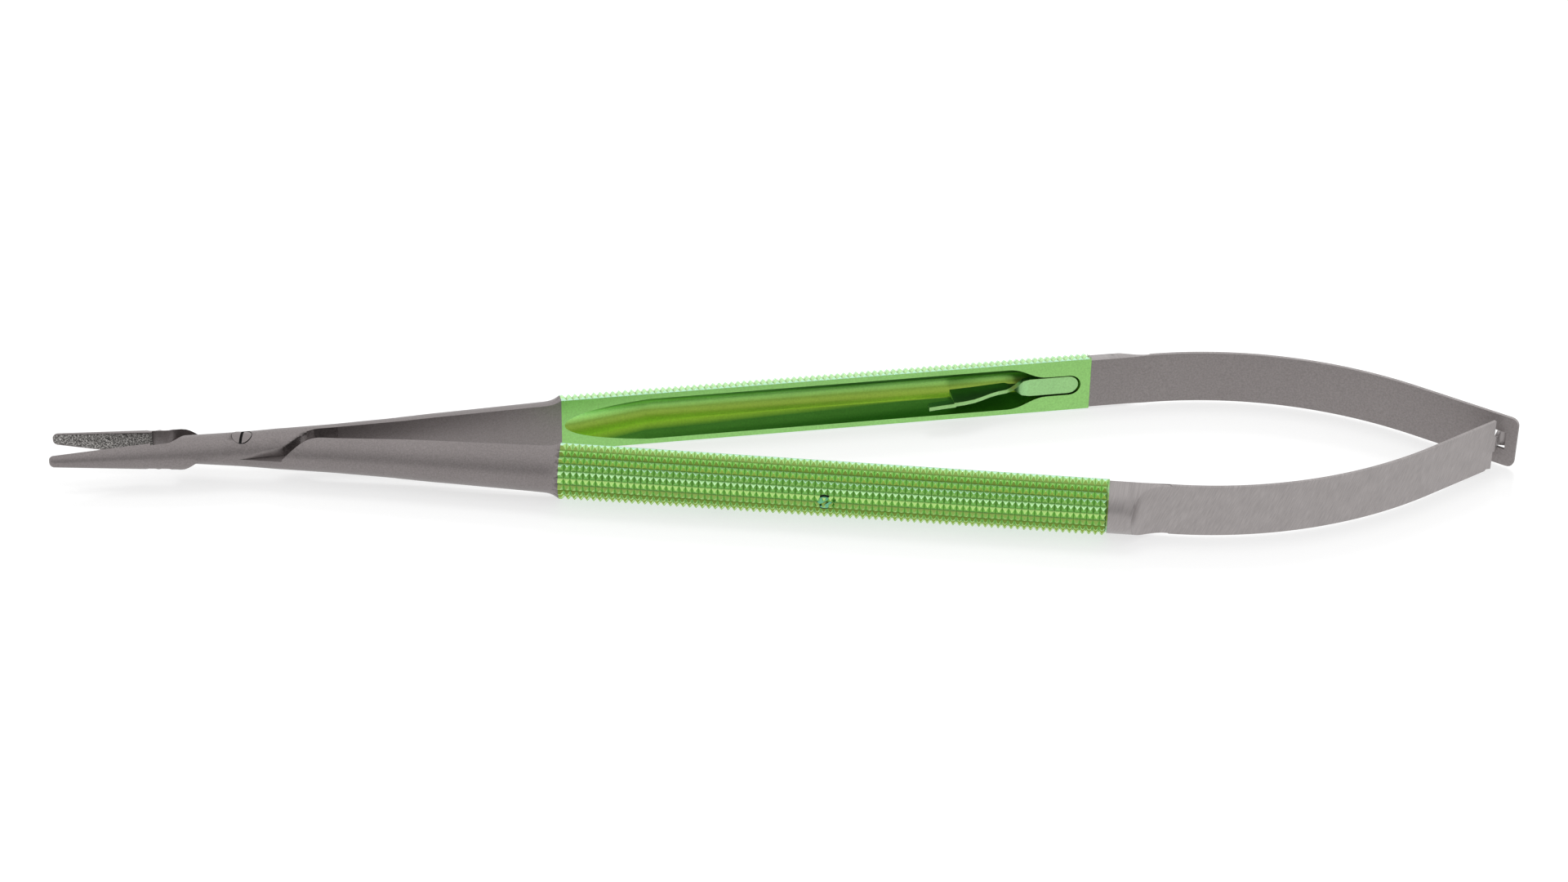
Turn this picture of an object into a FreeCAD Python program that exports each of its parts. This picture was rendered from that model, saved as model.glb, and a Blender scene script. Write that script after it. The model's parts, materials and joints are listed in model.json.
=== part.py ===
import FreeCAD, Part
import math
import os

# A spring-handled needle holder with round knurled grips, lying on its side.
# Lengths are in millimetres and angles in degrees. Distances along the instrument
# are measured from the pivot axis, ahead towards the jaws or behind towards the springs.
# Each half is drawn closed, with the closing plane at y = 0, and then swung open.

# Opening
OPEN_ANGLE = 5.4            # swing of each half from closed to rest
GRIP_SPLAY = 1.66           # grip flat against the closing plane when closed
FLAT_CROSSING = 18.3        # behind the pivot, where the grip flat meets the closing plane

# Jaws
JAW_LENGTH = 23.95
JAW_TIP_RADIUS = 0.84
JAW_TIP_ROUND = 0.65
JAW_HEEL = 7.3              # ahead of the pivot, where the jaw is widest
JAW_HEEL_RADIUS = 2.15
FACE_CLEARANCE = 0.05       # from the closing plane to a jaw face or a bar flat
PAD_LENGTH = 12.6
PAD_THICKNESS = 0.5
PAD_RIM = 0.14              # jaw metal left round the pad
PAD_PROUD = 0.03            # pad face above the rim
RELIEF_DEPTH = 0.4          # jaw face behind the pad, below the pad's face

# Lap joint
PIVOT_BOSS_RADIUS = 2.17
LAP_RADIUS = 2.3
LAP_CLEARANCE = 0.04
EAR_FRONT = 5.1             # ahead of the pivot, end of the full-width ear
EAR_REAR = 4.3              # behind the pivot, end of the full-width ear
FRONT_SHOULDER = 4.4        # length of the curved shoulder to the jaw
REAR_SHOULDER = 5.3         # length of the curved shoulder to the bar
SHOULDER_CLEARANCE = 0.5
WEDGE_FRONT = 2.5           # ahead of the pivot, start of the gap below the ear
EAR_WALL = 1.35             # closing plane to the outer end of the rear shoulder

# Pivot screw
HEAD_DIAMETER = 2.5
HEAD_THICKNESS = 0.8
SHANK_DIAMETER = 1.5
RUNNING_CLEARANCE = 0.03
THREAD_CLEARANCE = 0.02
HEAD_RING = 0.06
DRIVE_SLOT_WIDTH = 0.35
DRIVE_SLOT_DEPTH = 0.45

# Bar
BAR_START = 12.0
BAR_START_RADIUS = 2.44
BAR_MID = 24.0
BAR_MID_RADIUS = 2.88
BAR_END = 38.1
BAR_END_RADIUS = 3.25

# Grip
GRIP_START = 40.1
GRIP_LENGTH = 68.1
TOOTH_TIP_RADIUS = 3.9
TOOTH_DEPTH = 0.4
TOOTH_ROWS = 12
RIM_RADIUS = 3.85           # half-height of the grip's flat

# Pocket milled in the grip's flat
POCKET_CUTTER_RADIUS = 3.4
POCKET_DEPTH = 2.0
POCKET_MARGIN = 0.7         # from the start of the grip to the pocket's point
POCKET_RUNOUT = 10.5
POCKET_REAR_MARGIN = 6.9    # from the end of the grip to the last full section

# Tongue slot behind the pocket of the far half
SLOT_MARGIN = 1.25          # from the end of the grip to the slot's round end
SLOT_LENGTH = 4.3
SLOT_WIDTH = 3.0
SLOT_DEPTH = 0.65
SLOT_NECKING = 5.2          # length over which the pocket narrows to the slot

# Catch
STRIP_THICKNESS = 0.55
STRIP_WIDTH = 2.6
TONGUE_END_GAP = 0.3
TONGUE_LENGTH = 6.9
HOOK_BODY = 9.7             # from the tongue to the front of the full-width blade
BARB_LENGTH = 2.9
BARB_WIDTH = 1.1
# Stations of the strip ahead of its tongue: distance, turn of the strip about its length,
# height of its middle above the flat, and shift of its middle from the middle plane.
HOOK_STATIONS = ((0.0, 0.0, -0.35, 0.0), (0.9, 45.0, -0.15, 0.25), (1.9, 88.0, 0.1, 0.4),
                 (5.2, 84.0, 0.6, 0.15), (HOOK_BODY, 76.0, 1.05, 0.0),
                 (HOOK_BODY + BARB_LENGTH, 76.0, 1.05, -0.3))
CATCH_REACH = 2.4           # height of hook and keeper above their flats
KEEPER_OFFSET = 0.75        # shift of the keeper's nose, away from the hook
KEEPER_LENGTH = 21.3
KEEPER_WIDTH = 2.6
KEEPER_NOSE = 6.5
KEEPER_BARB = 3.4
KEEPER_THICKNESS = 0.6
KEEPER_SEAT_CLEARANCE = 0.02
CATCH_SCREW_MARGIN = 34.9   # from the end of the grip
CATCH_HEAD_DIAMETER = 2.1
CATCH_HEAD_THICKNESS = 0.6
CATCH_HEAD_SINK = 0.15      # top of the dome below the tooth tips
CATCH_SHANK_DIAMETER = 1.2
CATCH_SLOT_TURN = 35.0
COUNTERBORE_RING = 0.12

# Spring leaves
STUB_LENGTH = 7.4
STUB_RADIUS = 3.62
RAMP_LENGTH = 4.5
LEAF_THICKNESS = 0.38
LEAF_HEIGHT = 7.5
LEAF_BEND_RADIUS = 50.2
LEAF_ROOT_GAP = 0.1
TAIL_ANGLE = 31.5           # each tail against the middle plane at rest
FAR_TAIL = 1.95             # far leaf past the crossing
FAR_TAIL_CORNER = 0.8
WINDOW_AHEAD = 1.2
WINDOW_BEHIND = 0.65
WINDOW_HEIGHT = 2.6
NEAR_SHOULDER = 1.5         # from the near leaf's shoulder to the crossing
NEAR_TOP_CHAMFER = 0.4
NEAR_LOW_CHAMFER = 1.0
TONGUE_HEIGHT = 2.2
TONGUE_REACH = 0.95         # past the crossing, before the hook's bend
HOOK_BEND_RADIUS = 0.4
HOOK_TURN = 38.5
HOOK_LENGTH = 0.4

# Derived places and sizes
GRIP_END = GRIP_START + GRIP_LENGTH
STUB_END = GRIP_END + STUB_LENGTH
ROOT_RADIUS = TOOTH_TIP_RADIUS - TOOTH_DEPTH
REST_ANGLE = OPEN_ANGLE + GRIP_SPLAY
FLAT_OFFSET = -FLAT_CROSSING * math.sin(math.radians(GRIP_SPLAY))
PAD_END = JAW_LENGTH - PAD_LENGTH
PAD_SEAT = FACE_CLEARANCE + PAD_THICKNESS
RIM_FACE = FACE_CLEARANCE + PAD_PROUD
RELIEF = FACE_CLEARANCE + RELIEF_DEPTH
SLOT_END = GRIP_END - SLOT_MARGIN
POCKET_END = GRIP_END - POCKET_REAR_MARGIN
TONGUE_END = SLOT_END - TONGUE_END_GAP
TONGUE_FRONT = TONGUE_END - TONGUE_LENGTH
BLADE_FRONT = TONGUE_FRONT - HOOK_BODY
KEEPER_TIP = BLADE_FRONT - 1.0
KEEPER_REAR_FACE = KEEPER_TIP - KEEPER_BARB
CATCH_SCREW_X = GRIP_END - CATCH_SCREW_MARGIN
REACH = 2.0 * STUB_END      # longer than anything that is cut
HALF_LEAF = 0.5 * LEAF_HEIGHT
FAR_SIDE = 4.0 * TOOTH_TIP_RADIUS

V = FreeCAD.Vector


def turned(shape, axis, angle):
    """Copy of a shape turned about an axis through the origin."""
    copy = shape.copy()
    copy.rotate(V(0, 0, 0), axis, angle)
    return copy


def moved(shape, x=0.0, y=0.0, z=0.0):
    """Copy of a shape moved by the given distances."""
    copy = shape.copy()
    copy.translate(V(x, y, z))
    return copy


def polygon(points):
    """Planar face from a closed list of corner vectors."""
    return Part.Face(Part.makePolygon(points + [points[0]]))


def box(x0, x1, y0, y1, z0, z1):
    """Box between two corners."""
    return Part.makeBox(x1 - x0, y1 - y0, z1 - z0, V(x0, y0, z0))


def rod(radius, start, end):
    """Solid cylinder between two points."""
    way = end - start
    return Part.makeCylinder(radius, way.Length, start, way)


def revolved(edges):
    """Solid turned about the X axis from profile edges whose ends lie on it."""
    first = edges[0].firstVertex().Point
    last = edges[-1].lastVertex().Point
    face = Part.Face(Part.Wire(edges + [Part.makeLine(last, first)]))
    return face.revolve(V(0, 0, 0), V(1, 0, 0), 360)


def to_grip(shape):
    """Carry a shape from the grip's own axes to the closed half."""
    return turned(moved(shape, y=FLAT_OFFSET), V(0, 0, 1), GRIP_SPLAY)


def to_far(shape):
    """Swing a closed piece of the far half to rest."""
    return turned(shape, V(0, 0, 1), OPEN_ANGLE)


def to_near(shape):
    """Turn a closed piece over and swing it to rest as the near half."""
    return turned(turned(shape, V(1, 0, 0), 180), V(0, 0, 1), -OPEN_ANGLE)


def ribbon(start, heading, moves, thickness, low, high):
    """Upright strip along a plan path of (length, turn) moves; a turn makes an arc."""
    place, angle = start, math.radians(heading)
    left, right = [], []
    for length, turn in moves:
        sweep = math.radians(turn)
        stops = []
        for share in (0.0, 0.5, 1.0):
            bearing = angle + sweep * share
            if turn:
                radius = length / sweep
                centre = place + V(-math.sin(angle), math.cos(angle), 0) * radius
                point = centre + V(math.sin(bearing), -math.cos(bearing), 0) * radius
            else:
                point = place + V(math.cos(angle), math.sin(angle), 0) * length * share
            side = V(-math.sin(bearing), math.cos(bearing), 0) * 0.5 * thickness
            stops.append((point, side))
        for edges, sign in ((left, 1), (right, -1)):
            corners = [point + side * sign for point, side in stops]
            if turn:
                edges.append(Part.Arc(*corners).toShape())
            else:
                edges.append(Part.makeLine(corners[0], corners[2]))
        place, angle = stops[2][0], angle + sweep
    caps = [Part.makeLine(left[0].firstVertex().Point, right[0].firstVertex().Point),
            Part.makeLine(left[-1].lastVertex().Point, right[-1].lastVertex().Point)]
    face = Part.Face(Part.Wire(Part.__sortEdges__(left + right + caps)))
    return moved(face.extrude(V(0, 0, high - low)), z=low), place, math.degrees(angle)


def shoulder(x0, y0, x1, y1):
    """Curve across the lap, level with the instrument at both ends."""
    curve = Part.BezierCurve()
    pull = 0.42 * (x1 - x0)
    curve.setPoles([V(x0, y0, 0), V(x0 + pull, y0, 0), V(x1 - pull, y1, 0), V(x1, y1, 0)])
    return curve.toShape()


def outline(parts):
    """Closed plan face from corner points, with curves between some of them."""
    edges, place = [], None
    for item in parts + parts[:1]:
        start = item if isinstance(item, FreeCAD.Vector) else item.firstVertex().Point
        if place is not None and (start - place).Length > 1e-6:
            edges.append(Part.makeLine(place, start))
        if isinstance(item, FreeCAD.Vector):
            place = item
        elif len(edges) < 2 or item is not parts[0]:
            edges.append(item)
            place = item.lastVertex().Point
    return Part.Face(Part.Wire(edges))


def flat_line():
    """Corners of the bar's flat in plan, from the joint to past the stub."""
    slope = math.tan(math.radians(GRIP_SPLAY))
    base = FLAT_OFFSET / math.cos(math.radians(GRIP_SPLAY))
    bend = (FACE_CLEARANCE - base) / slope
    return V(REACH, base + slope * REACH, 0), V(bend, FACE_CLEARANCE, 0)


def jaw_profile(inset, end):
    """Profile edges of the jaw's rounded tip and taper, drawn in by an inset."""
    tip = -JAW_LENGTH + inset
    radius = JAW_TIP_RADIUS - inset
    tip_flat = JAW_TIP_RADIUS - JAW_TIP_ROUND
    corner_run = radius - tip_flat
    lean = corner_run * (1.0 - math.sqrt(0.5))
    taper_start = tip + corner_run
    slope = (JAW_HEEL_RADIUS - JAW_TIP_RADIUS) / (JAW_LENGTH - JAW_TIP_ROUND - JAW_HEEL)
    end_radius = radius + slope * (end - taper_start)
    corner = Part.Arc(V(tip, tip_flat, 0), V(tip + lean, radius - lean, 0),
                      V(taper_start, radius, 0)).toShape()
    return [Part.makeLine(V(tip, 0, 0), V(tip, tip_flat, 0)), corner,
            Part.makeLine(V(taper_start, radius, 0), V(end, end_radius, 0))]


def front_of_half():
    """Round outer form of jaw and lap, up to the bar."""
    corners = [V(-JAW_HEEL, JAW_HEEL_RADIUS, 0), V(0, PIVOT_BOSS_RADIUS, 0),
               V(EAR_REAR, LAP_RADIUS, 0), V(BAR_START, BAR_START_RADIUS, 0),
               V(BAR_START, 0, 0)]
    lines = [Part.makeLine(a, b) for a, b in zip(corners, corners[1:])]
    return revolved(jaw_profile(0.0, -JAW_HEEL) + lines)


def bent_bar():
    """Stretch of bar that turns from the joint's axis to the grip's axis."""
    share = (FLAT_CROSSING - BAR_START) / (BAR_MID - BAR_START)
    mid_radius = BAR_START_RADIUS + share * (BAR_MID_RADIUS - BAR_START_RADIUS)
    half_turn = math.radians(0.5 * GRIP_SPLAY)
    rings = [
        Part.makeCircle(BAR_START_RADIUS, V(BAR_START, 0, 0), V(1, 0, 0)),
        Part.makeCircle(mid_radius, V(FLAT_CROSSING, 0, 0),
                        V(math.cos(half_turn), math.sin(half_turn), 0)),
        to_grip(Part.makeCircle(BAR_MID_RADIUS, V(BAR_MID, 0, 0), V(1, 0, 0))),
    ]
    return Part.makeLoft([Part.Wire(ring) for ring in rings], True, True)


def toothed_bar():
    """Prism with straight rows of teeth round one side of its flat."""
    pitch = math.pi / TOOTH_ROWS
    corners = [V(0, 0, -RIM_RADIUS)]
    for row in range(TOOTH_ROWS):
        tip = (row + 0.5) * pitch
        root = (row + 1) * pitch
        radius = RIM_RADIUS if row == TOOTH_ROWS - 1 else ROOT_RADIUS
        corners.append(V(0, math.sin(tip), -math.cos(tip)) * TOOTH_TIP_RADIUS)
        corners.append(V(0, math.sin(root), -math.cos(root)) * radius)
    corners += [V(0, -TOOTH_TIP_RADIUS, RIM_RADIUS), V(0, -TOOTH_TIP_RADIUS, -RIM_RADIUS)]
    return moved(polygon(corners).extrude(V(GRIP_END - BAR_MID, 0, 0)), x=BAR_MID)


def rear_of_half():
    """Straight bar, flared collar, toothed grip and ramped stub, on the grip's axis."""
    rise = TOOTH_TIP_RADIUS - BAR_END_RADIUS
    run = GRIP_START - BAR_END
    flare = Part.Arc(V(BAR_END, BAR_END_RADIUS, 0),
                     V(BAR_END + 0.6 * run, BAR_END_RADIUS + 0.33 * rise, 0),
                     V(GRIP_START, TOOTH_TIP_RADIUS, 0)).toShape()
    turned_form = revolved([
        Part.makeLine(V(BAR_MID, 0, 0), V(BAR_MID, BAR_MID_RADIUS, 0)),
        Part.makeLine(V(BAR_MID, BAR_MID_RADIUS, 0), V(BAR_END, BAR_END_RADIUS, 0)),
        flare,
        Part.makeLine(V(GRIP_START, TOOTH_TIP_RADIUS, 0), V(GRIP_END, TOOTH_TIP_RADIUS, 0)),
        Part.makeLine(V(GRIP_END, TOOTH_TIP_RADIUS, 0), V(GRIP_END, 0, 0)),
    ])
    grip = turned_form.common(toothed_bar())
    stub = rod(STUB_RADIUS, V(GRIP_END, 0, 0), V(STUB_END, 0, 0)).cut(ramp())
    return grip.fuse(stub)


def ramp():
    """Hollow cut that thins the stub from its crest to the leaf."""
    start = V(STUB_END - RAMP_LENGTH, STUB_RADIUS, 0)
    end = V(STUB_END, LEAF_THICKNESS, 0)
    drop = start.y - end.y
    radius = (RAMP_LENGTH ** 2 + drop ** 2) / (2.0 * drop)
    centre = end + V(0, radius, 0)
    middle = start + end - centre * 2.0
    middle.normalize()
    edges = [Part.Arc(start, centre + middle * radius, end).toShape(),
             Part.makeLine(end, V(STUB_END, FAR_SIDE, 0)),
             Part.makeLine(V(STUB_END, FAR_SIDE, 0), V(start.x, FAR_SIDE, 0)),
             Part.makeLine(V(start.x, FAR_SIDE, 0), start)]
    face = Part.Face(Part.Wire(edges))
    return moved(face.extrude(V(0, 0, 2.0 * FAR_SIDE)), z=-FAR_SIDE)


def layer(face, low, high):
    """Plan face as a slab between two heights."""
    return moved(face.extrude(V(0, 0, high - low)), z=low)


def half_plan():
    """Slabs that one half fills: its ear above the lap, its jaw and bar below."""
    flat_end, flat_bend = flat_line()
    jaw_back = V(-REACH, -FAR_SIDE, 0)
    jaw_face = [V(-REACH, -RIM_FACE, 0), V(-PAD_END, -RIM_FACE, 0), V(-PAD_END, -RELIEF, 0)]
    wide, bar_wide = JAW_HEEL_RADIUS, LAP_RADIUS + FACE_CLEARANCE
    front = EAR_FRONT + FRONT_SHOULDER
    rear = EAR_REAR + REAR_SHOULDER
    clear = SHOULDER_CLEARANCE
    upper = outline(jaw_face + [
        shoulder(-front, -RELIEF, -EAR_FRONT, wide),
        V(-EAR_FRONT, FAR_SIDE, 0), V(REACH, FAR_SIDE, 0), flat_end, flat_bend,
        shoulder(rear, FACE_CLEARANCE, EAR_REAR, -EAR_WALL),
        V(-WEDGE_FRONT, -bar_wide, 0), V(-WEDGE_FRONT, -FAR_SIDE, 0), jaw_back])
    lower_jaw = outline(jaw_face + [
        shoulder(-front - clear, -RELIEF, -EAR_FRONT - clear, -wide),
        V(-EAR_FRONT - clear, -FAR_SIDE, 0), jaw_back])
    lower_bar = outline([
        flat_end, flat_bend,
        shoulder(rear + clear, FACE_CLEARANCE, EAR_REAR + clear, bar_wide),
        V(EAR_REAR + clear, FAR_SIDE, 0), V(REACH, FAR_SIDE, 0)])
    split = 0.5 * LAP_CLEARANCE
    slabs = layer(upper, split, FAR_SIDE)
    return slabs.fuse([layer(lower_jaw, -FAR_SIDE, split), layer(lower_bar, -FAR_SIDE, split)])


def round_form():
    """Whole outer form of one half, before its flats and lap are cut."""
    return front_of_half().fuse([bent_bar(), to_grip(rear_of_half())])


def pocket(ending):
    """Round-bottomed pocket in the grip's flat, with a pointed run-out ahead."""
    radius = POCKET_CUTTER_RADIUS
    axis_y = POCKET_DEPTH - radius
    start = V(GRIP_START + POCKET_MARGIN + POCKET_RUNOUT, axis_y, 0)
    end = V(POCKET_END, axis_y, 0)
    rise = V(-POCKET_RUNOUT, -POCKET_DEPTH, 0)
    cutters = [rod(radius, start, start + rise * 2.0), Part.makeSphere(radius, start),
               Part.makeSphere(radius, end)]
    return rod(radius, start, end).fuse(cutters).common(ending)


def necked_ending():
    """Limits of the far pocket, narrowing to the width of the tongue slot."""
    wide = POCKET_CUTTER_RADIUS
    narrow = 0.5 * SLOT_WIDTH
    half_width = math.sqrt(wide ** 2 - (wide - POCKET_DEPTH) ** 2)
    necked = SLOT_END - SLOT_LENGTH
    curve = shoulder(necked - SLOT_NECKING, half_width, necked, narrow)
    upper = [V(0, wide, 0), V(necked - SLOT_NECKING, wide, 0), curve, V(REACH, narrow, 0)]
    side = outline(upper + [V(REACH, 0, 0), V(0, 0, 0)])
    upper_side = side.extrude(V(0, 0, 4.0 * FAR_SIDE))
    both = upper_side.fuse(upper_side.mirror(V(0, 0, 0), V(0, 1, 0)))
    return moved(turned(both, V(1, 0, 0), 90), y=2.0 * FAR_SIDE)


def tongue_slot():
    """Shallow slot with a round end for the tongue of the catch strip."""
    half = 0.5 * SLOT_WIDTH
    bend = SLOT_END - half
    bed = box(TONGUE_FRONT, bend, -SLOT_DEPTH, SLOT_DEPTH, -half, half)
    return bed.fuse(rod(half, V(bend, -SLOT_DEPTH, 0), V(bend, SLOT_DEPTH, 0)))


def screw_hole():
    """Running bore in the upper ear with a counterbore for the flush head."""
    bore = 0.5 * SHANK_DIAMETER + RUNNING_CLEARANCE
    seat = PIVOT_BOSS_RADIUS - HEAD_THICKNESS
    hole = rod(bore, V(0, 0, -FAR_SIDE), V(0, 0, FAR_SIDE))
    return hole.fuse(rod(0.5 * HEAD_DIAMETER + HEAD_RING, V(0, 0, seat), V(0, 0, FAR_SIDE)))


def catch_screw_hole():
    """Counterbore and bore for the catch screw, on the crest of the near grip."""
    seat = TOOTH_TIP_RADIUS - CATCH_HEAD_SINK - CATCH_HEAD_THICKNESS
    head = 0.5 * CATCH_HEAD_DIAMETER + COUNTERBORE_RING
    bore = 0.5 * CATCH_SHANK_DIAMETER + THREAD_CLEARANCE
    x = CATCH_SCREW_X
    return rod(bore, V(x, 0, 0), V(x, FAR_SIDE, 0)).fuse(rod(head, V(x, seat, 0), V(x, FAR_SIDE, 0)))


def far_half():
    """Far half: near-side jaw, upper ear, bar, grip with tongue slot, and stub."""
    cuts = [jaw_pad(), screw_hole(), to_grip(pocket(necked_ending())), to_grip(tongue_slot())]
    return to_far(round_form().common(half_plan()).cut(cuts))


def near_half():
    """Near half: the same form turned over, with the catch screw in its grip."""
    thread = rod(0.5 * SHANK_DIAMETER + THREAD_CLEARANCE, V(0, 0, -FAR_SIDE), V(0, 0, FAR_SIDE))
    limits = box(0, REACH, -FAR_SIDE, FAR_SIDE, -FAR_SIDE, FAR_SIDE)
    cuts = [jaw_pad(), thread, to_grip(pocket(limits)), to_grip(catch_screw_hole())]
    return to_near(round_form().common(half_plan()).cut(cuts))


def pivot_screw():
    """Slotted screw, ground flush with the lap above and below."""
    seat = PIVOT_BOSS_RADIUS - HEAD_THICKNESS
    shank = rod(0.5 * SHANK_DIAMETER, V(0, 0, -FAR_SIDE), V(0, 0, seat))
    head = rod(0.5 * HEAD_DIAMETER, V(0, 0, seat), V(0, 0, FAR_SIDE))
    form = shank.fuse(head).common(front_of_half())
    slot_floor = PIVOT_BOSS_RADIUS - DRIVE_SLOT_DEPTH
    width = 0.5 * DRIVE_SLOT_WIDTH
    return form.cut(box(-width, width, -FAR_SIDE, FAR_SIDE, slot_floor, FAR_SIDE))


def jaw_pad():
    """Rough-faced plate let into the jaw, inside a thin rim."""
    edges = jaw_profile(PAD_RIM, -PAD_END)
    back = Part.makeLine(edges[-1].lastVertex().Point, V(-PAD_END, 0, 0))
    slab = box(-JAW_LENGTH, -PAD_END, -PAD_SEAT, -FACE_CLEARANCE, -FAR_SIDE, FAR_SIDE)
    return revolved(edges + [back]).common(slab)


def strip_section(distance, turn, height, shift):
    """Rectangle across the catch strip at one station ahead of its tongue."""
    half_t, half_w = 0.5 * STRIP_THICKNESS, 0.5 * STRIP_WIDTH
    corners = [V(0, -half_t, -half_w), V(0, half_t, -half_w), V(0, half_t, half_w),
               V(0, -half_t, half_w)]
    wire = Part.makePolygon(corners + [corners[0]])
    return moved(turned(wire, V(1, 0, 0), -turn), TONGUE_FRONT - distance, -height, shift)


def hook_strip():
    """Catch strip: tongue in its slot, quarter twist, and an upright blade with a barb."""
    half_w = 0.5 * STRIP_WIDTH
    bend = TONGUE_END - half_w
    low, high = SLOT_DEPTH - STRIP_THICKNESS, SLOT_DEPTH
    tongue = box(TONGUE_FRONT, bend, low, high, -half_w, half_w)
    tongue = tongue.fuse(rod(half_w, V(bend, low, 0), V(bend, high, 0)))
    blade = Part.makeLoft([strip_section(*station) for station in HOOK_STATIONS], True, True)
    below_barb = box(0, BLADE_FRONT, BARB_WIDTH - CATCH_REACH, FAR_SIDE, -FAR_SIDE, FAR_SIDE)
    return tongue.fuse(blade.cut(below_barb))


def keeper_strip():
    """Hidden keeper on the pocket's floor of the near half, with an upright nose."""
    half_w, half_t = 0.5 * KEEPER_WIDTH, 0.5 * KEEPER_THICKNESS
    cutter = POCKET_CUTTER_RADIUS
    floor = math.sqrt(cutter ** 2 - half_w ** 2) - cutter + POCKET_DEPTH
    bottom = floor - KEEPER_SEAT_CLEARANCE
    top = bottom - KEEPER_THICKNESS
    nose_front = KEEPER_REAR_FACE - KEEPER_NOSE + KEEPER_BARB
    base = box(KEEPER_TIP - KEEPER_LENGTH, KEEPER_REAR_FACE, top, bottom, -half_w, half_w)
    side = polygon([V(nose_front, bottom, 0), V(KEEPER_REAR_FACE, bottom, 0),
                    V(KEEPER_REAR_FACE, BARB_WIDTH - CATCH_REACH, 0),
                    V(KEEPER_TIP, BARB_WIDTH - CATCH_REACH, 0), V(KEEPER_TIP, -CATCH_REACH, 0),
                    V(nose_front, -CATCH_REACH, 0)])
    nose = layer(side, -KEEPER_OFFSET - half_t, -KEEPER_OFFSET + half_t)
    x = CATCH_SCREW_X
    thread = rod(0.5 * CATCH_SHANK_DIAMETER + THREAD_CLEARANCE, V(x, -1, 0), V(x, FAR_SIDE, 0))
    return base.fuse(nose).cut(thread)


def catch_screw():
    """Slotted dome-headed screw that holds the keeper strip."""
    top = TOOTH_TIP_RADIUS - CATCH_HEAD_SINK
    seat = top - CATCH_HEAD_THICKNESS
    radius = 0.5 * CATCH_HEAD_DIAMETER
    x = CATCH_SCREW_X
    dome = Part.makeSphere(2.0 * radius, V(x, top - 2.0 * radius, 0))
    head = rod(radius, V(x, seat, 0), V(x, top, 0)).common(dome)
    width = 0.5 * DRIVE_SLOT_WIDTH
    slot = box(-REACH, REACH, top - DRIVE_SLOT_DEPTH, FAR_SIDE, -width, width)
    slot = moved(turned(slot, V(0, 1, 0), CATCH_SLOT_TURN), x=x)
    end = POCKET_DEPTH - 2.0 * KEEPER_THICKNESS
    shank = rod(0.5 * CATCH_SHANK_DIAMETER, V(x, end, 0), V(x, seat, 0))
    return head.fuse(shank).cut(slot)


def leaf_root():
    """Middle of the far leaf's root at rest."""
    root = to_far(to_grip(Part.Vertex(V(STUB_END + LEAF_ROOT_GAP, 0.5 * LEAF_THICKNESS, 0))))
    return root.Point


def leaf_path(extra):
    """Plan moves of a leaf from its root to a distance past the crossing."""
    start = leaf_root()
    turn = REST_ANGLE + TAIL_ANGLE
    arc = LEAF_BEND_RADIUS * math.radians(turn)
    drop = math.cos(math.radians(REST_ANGLE)) - math.cos(math.radians(TAIL_ANGLE))
    arc_end_y = start.y - LEAF_BEND_RADIUS * drop
    straight = arc_end_y / math.sin(math.radians(TAIL_ANGLE))
    return [(arc, -turn), (straight + extra, 0)]


def end_edges(leaf, tail, level):
    """Short edges across the leaf's thickness at its tail and at one height."""
    picked = []
    for edge in leaf.Edges:
        middle = edge.CenterOfMass
        near_tail = (V(middle.x, middle.y, 0) - tail).Length < LEAF_THICKNESS
        if near_tail and abs(middle.z - level) < 1e-3 and edge.Length < 1.5 * LEAF_THICKNESS:
            picked.append(edge)
    return picked


def far_leaf():
    """Far spring leaf, with a window for the near leaf's tongue."""
    path = leaf_path(FAR_TAIL)
    leaf, tail, heading = ribbon(leaf_root(), REST_ANGLE, path, LEAF_THICKNESS, -HALF_LEAF, HALF_LEAF)
    corners = end_edges(leaf, tail, HALF_LEAF) + end_edges(leaf, tail, -HALF_LEAF)
    leaf = leaf.makeFillet(FAR_TAIL_CORNER, corners)
    tall = 0.5 * WINDOW_HEIGHT
    window = box(-FAR_TAIL - WINDOW_AHEAD, -FAR_TAIL + WINDOW_BEHIND, -LEAF_THICKNESS,
                 LEAF_THICKNESS, -tall, tall)
    return leaf.cut(moved(turned(window, V(0, 0, 1), heading), tail.x, tail.y))


def near_leaf():
    """Near spring leaf, with a narrow tongue that hooks through the window."""
    root = leaf_root()
    start = V(root.x, -root.y, 0)
    path = [(length, -turn) for length, turn in leaf_path(-NEAR_SHOULDER)]
    leaf, tail, heading = ribbon(start, -REST_ANGLE, path, LEAF_THICKNESS, -HALF_LEAF, HALF_LEAF)
    leaf = leaf.makeChamfer(NEAR_TOP_CHAMFER, end_edges(leaf, tail, HALF_LEAF))
    leaf = leaf.makeChamfer(NEAR_LOW_CHAMFER, end_edges(leaf, tail, -HALF_LEAF))
    bend = HOOK_BEND_RADIUS * math.radians(HOOK_TURN)
    moves = [(NEAR_SHOULDER + TONGUE_REACH, 0), (bend, -HOOK_TURN), (HOOK_LENGTH, 0)]
    tall = 0.5 * TONGUE_HEIGHT
    return leaf.fuse(ribbon(tail, heading, moves, LEAF_THICKNESS, -tall, tall)[0])


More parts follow.
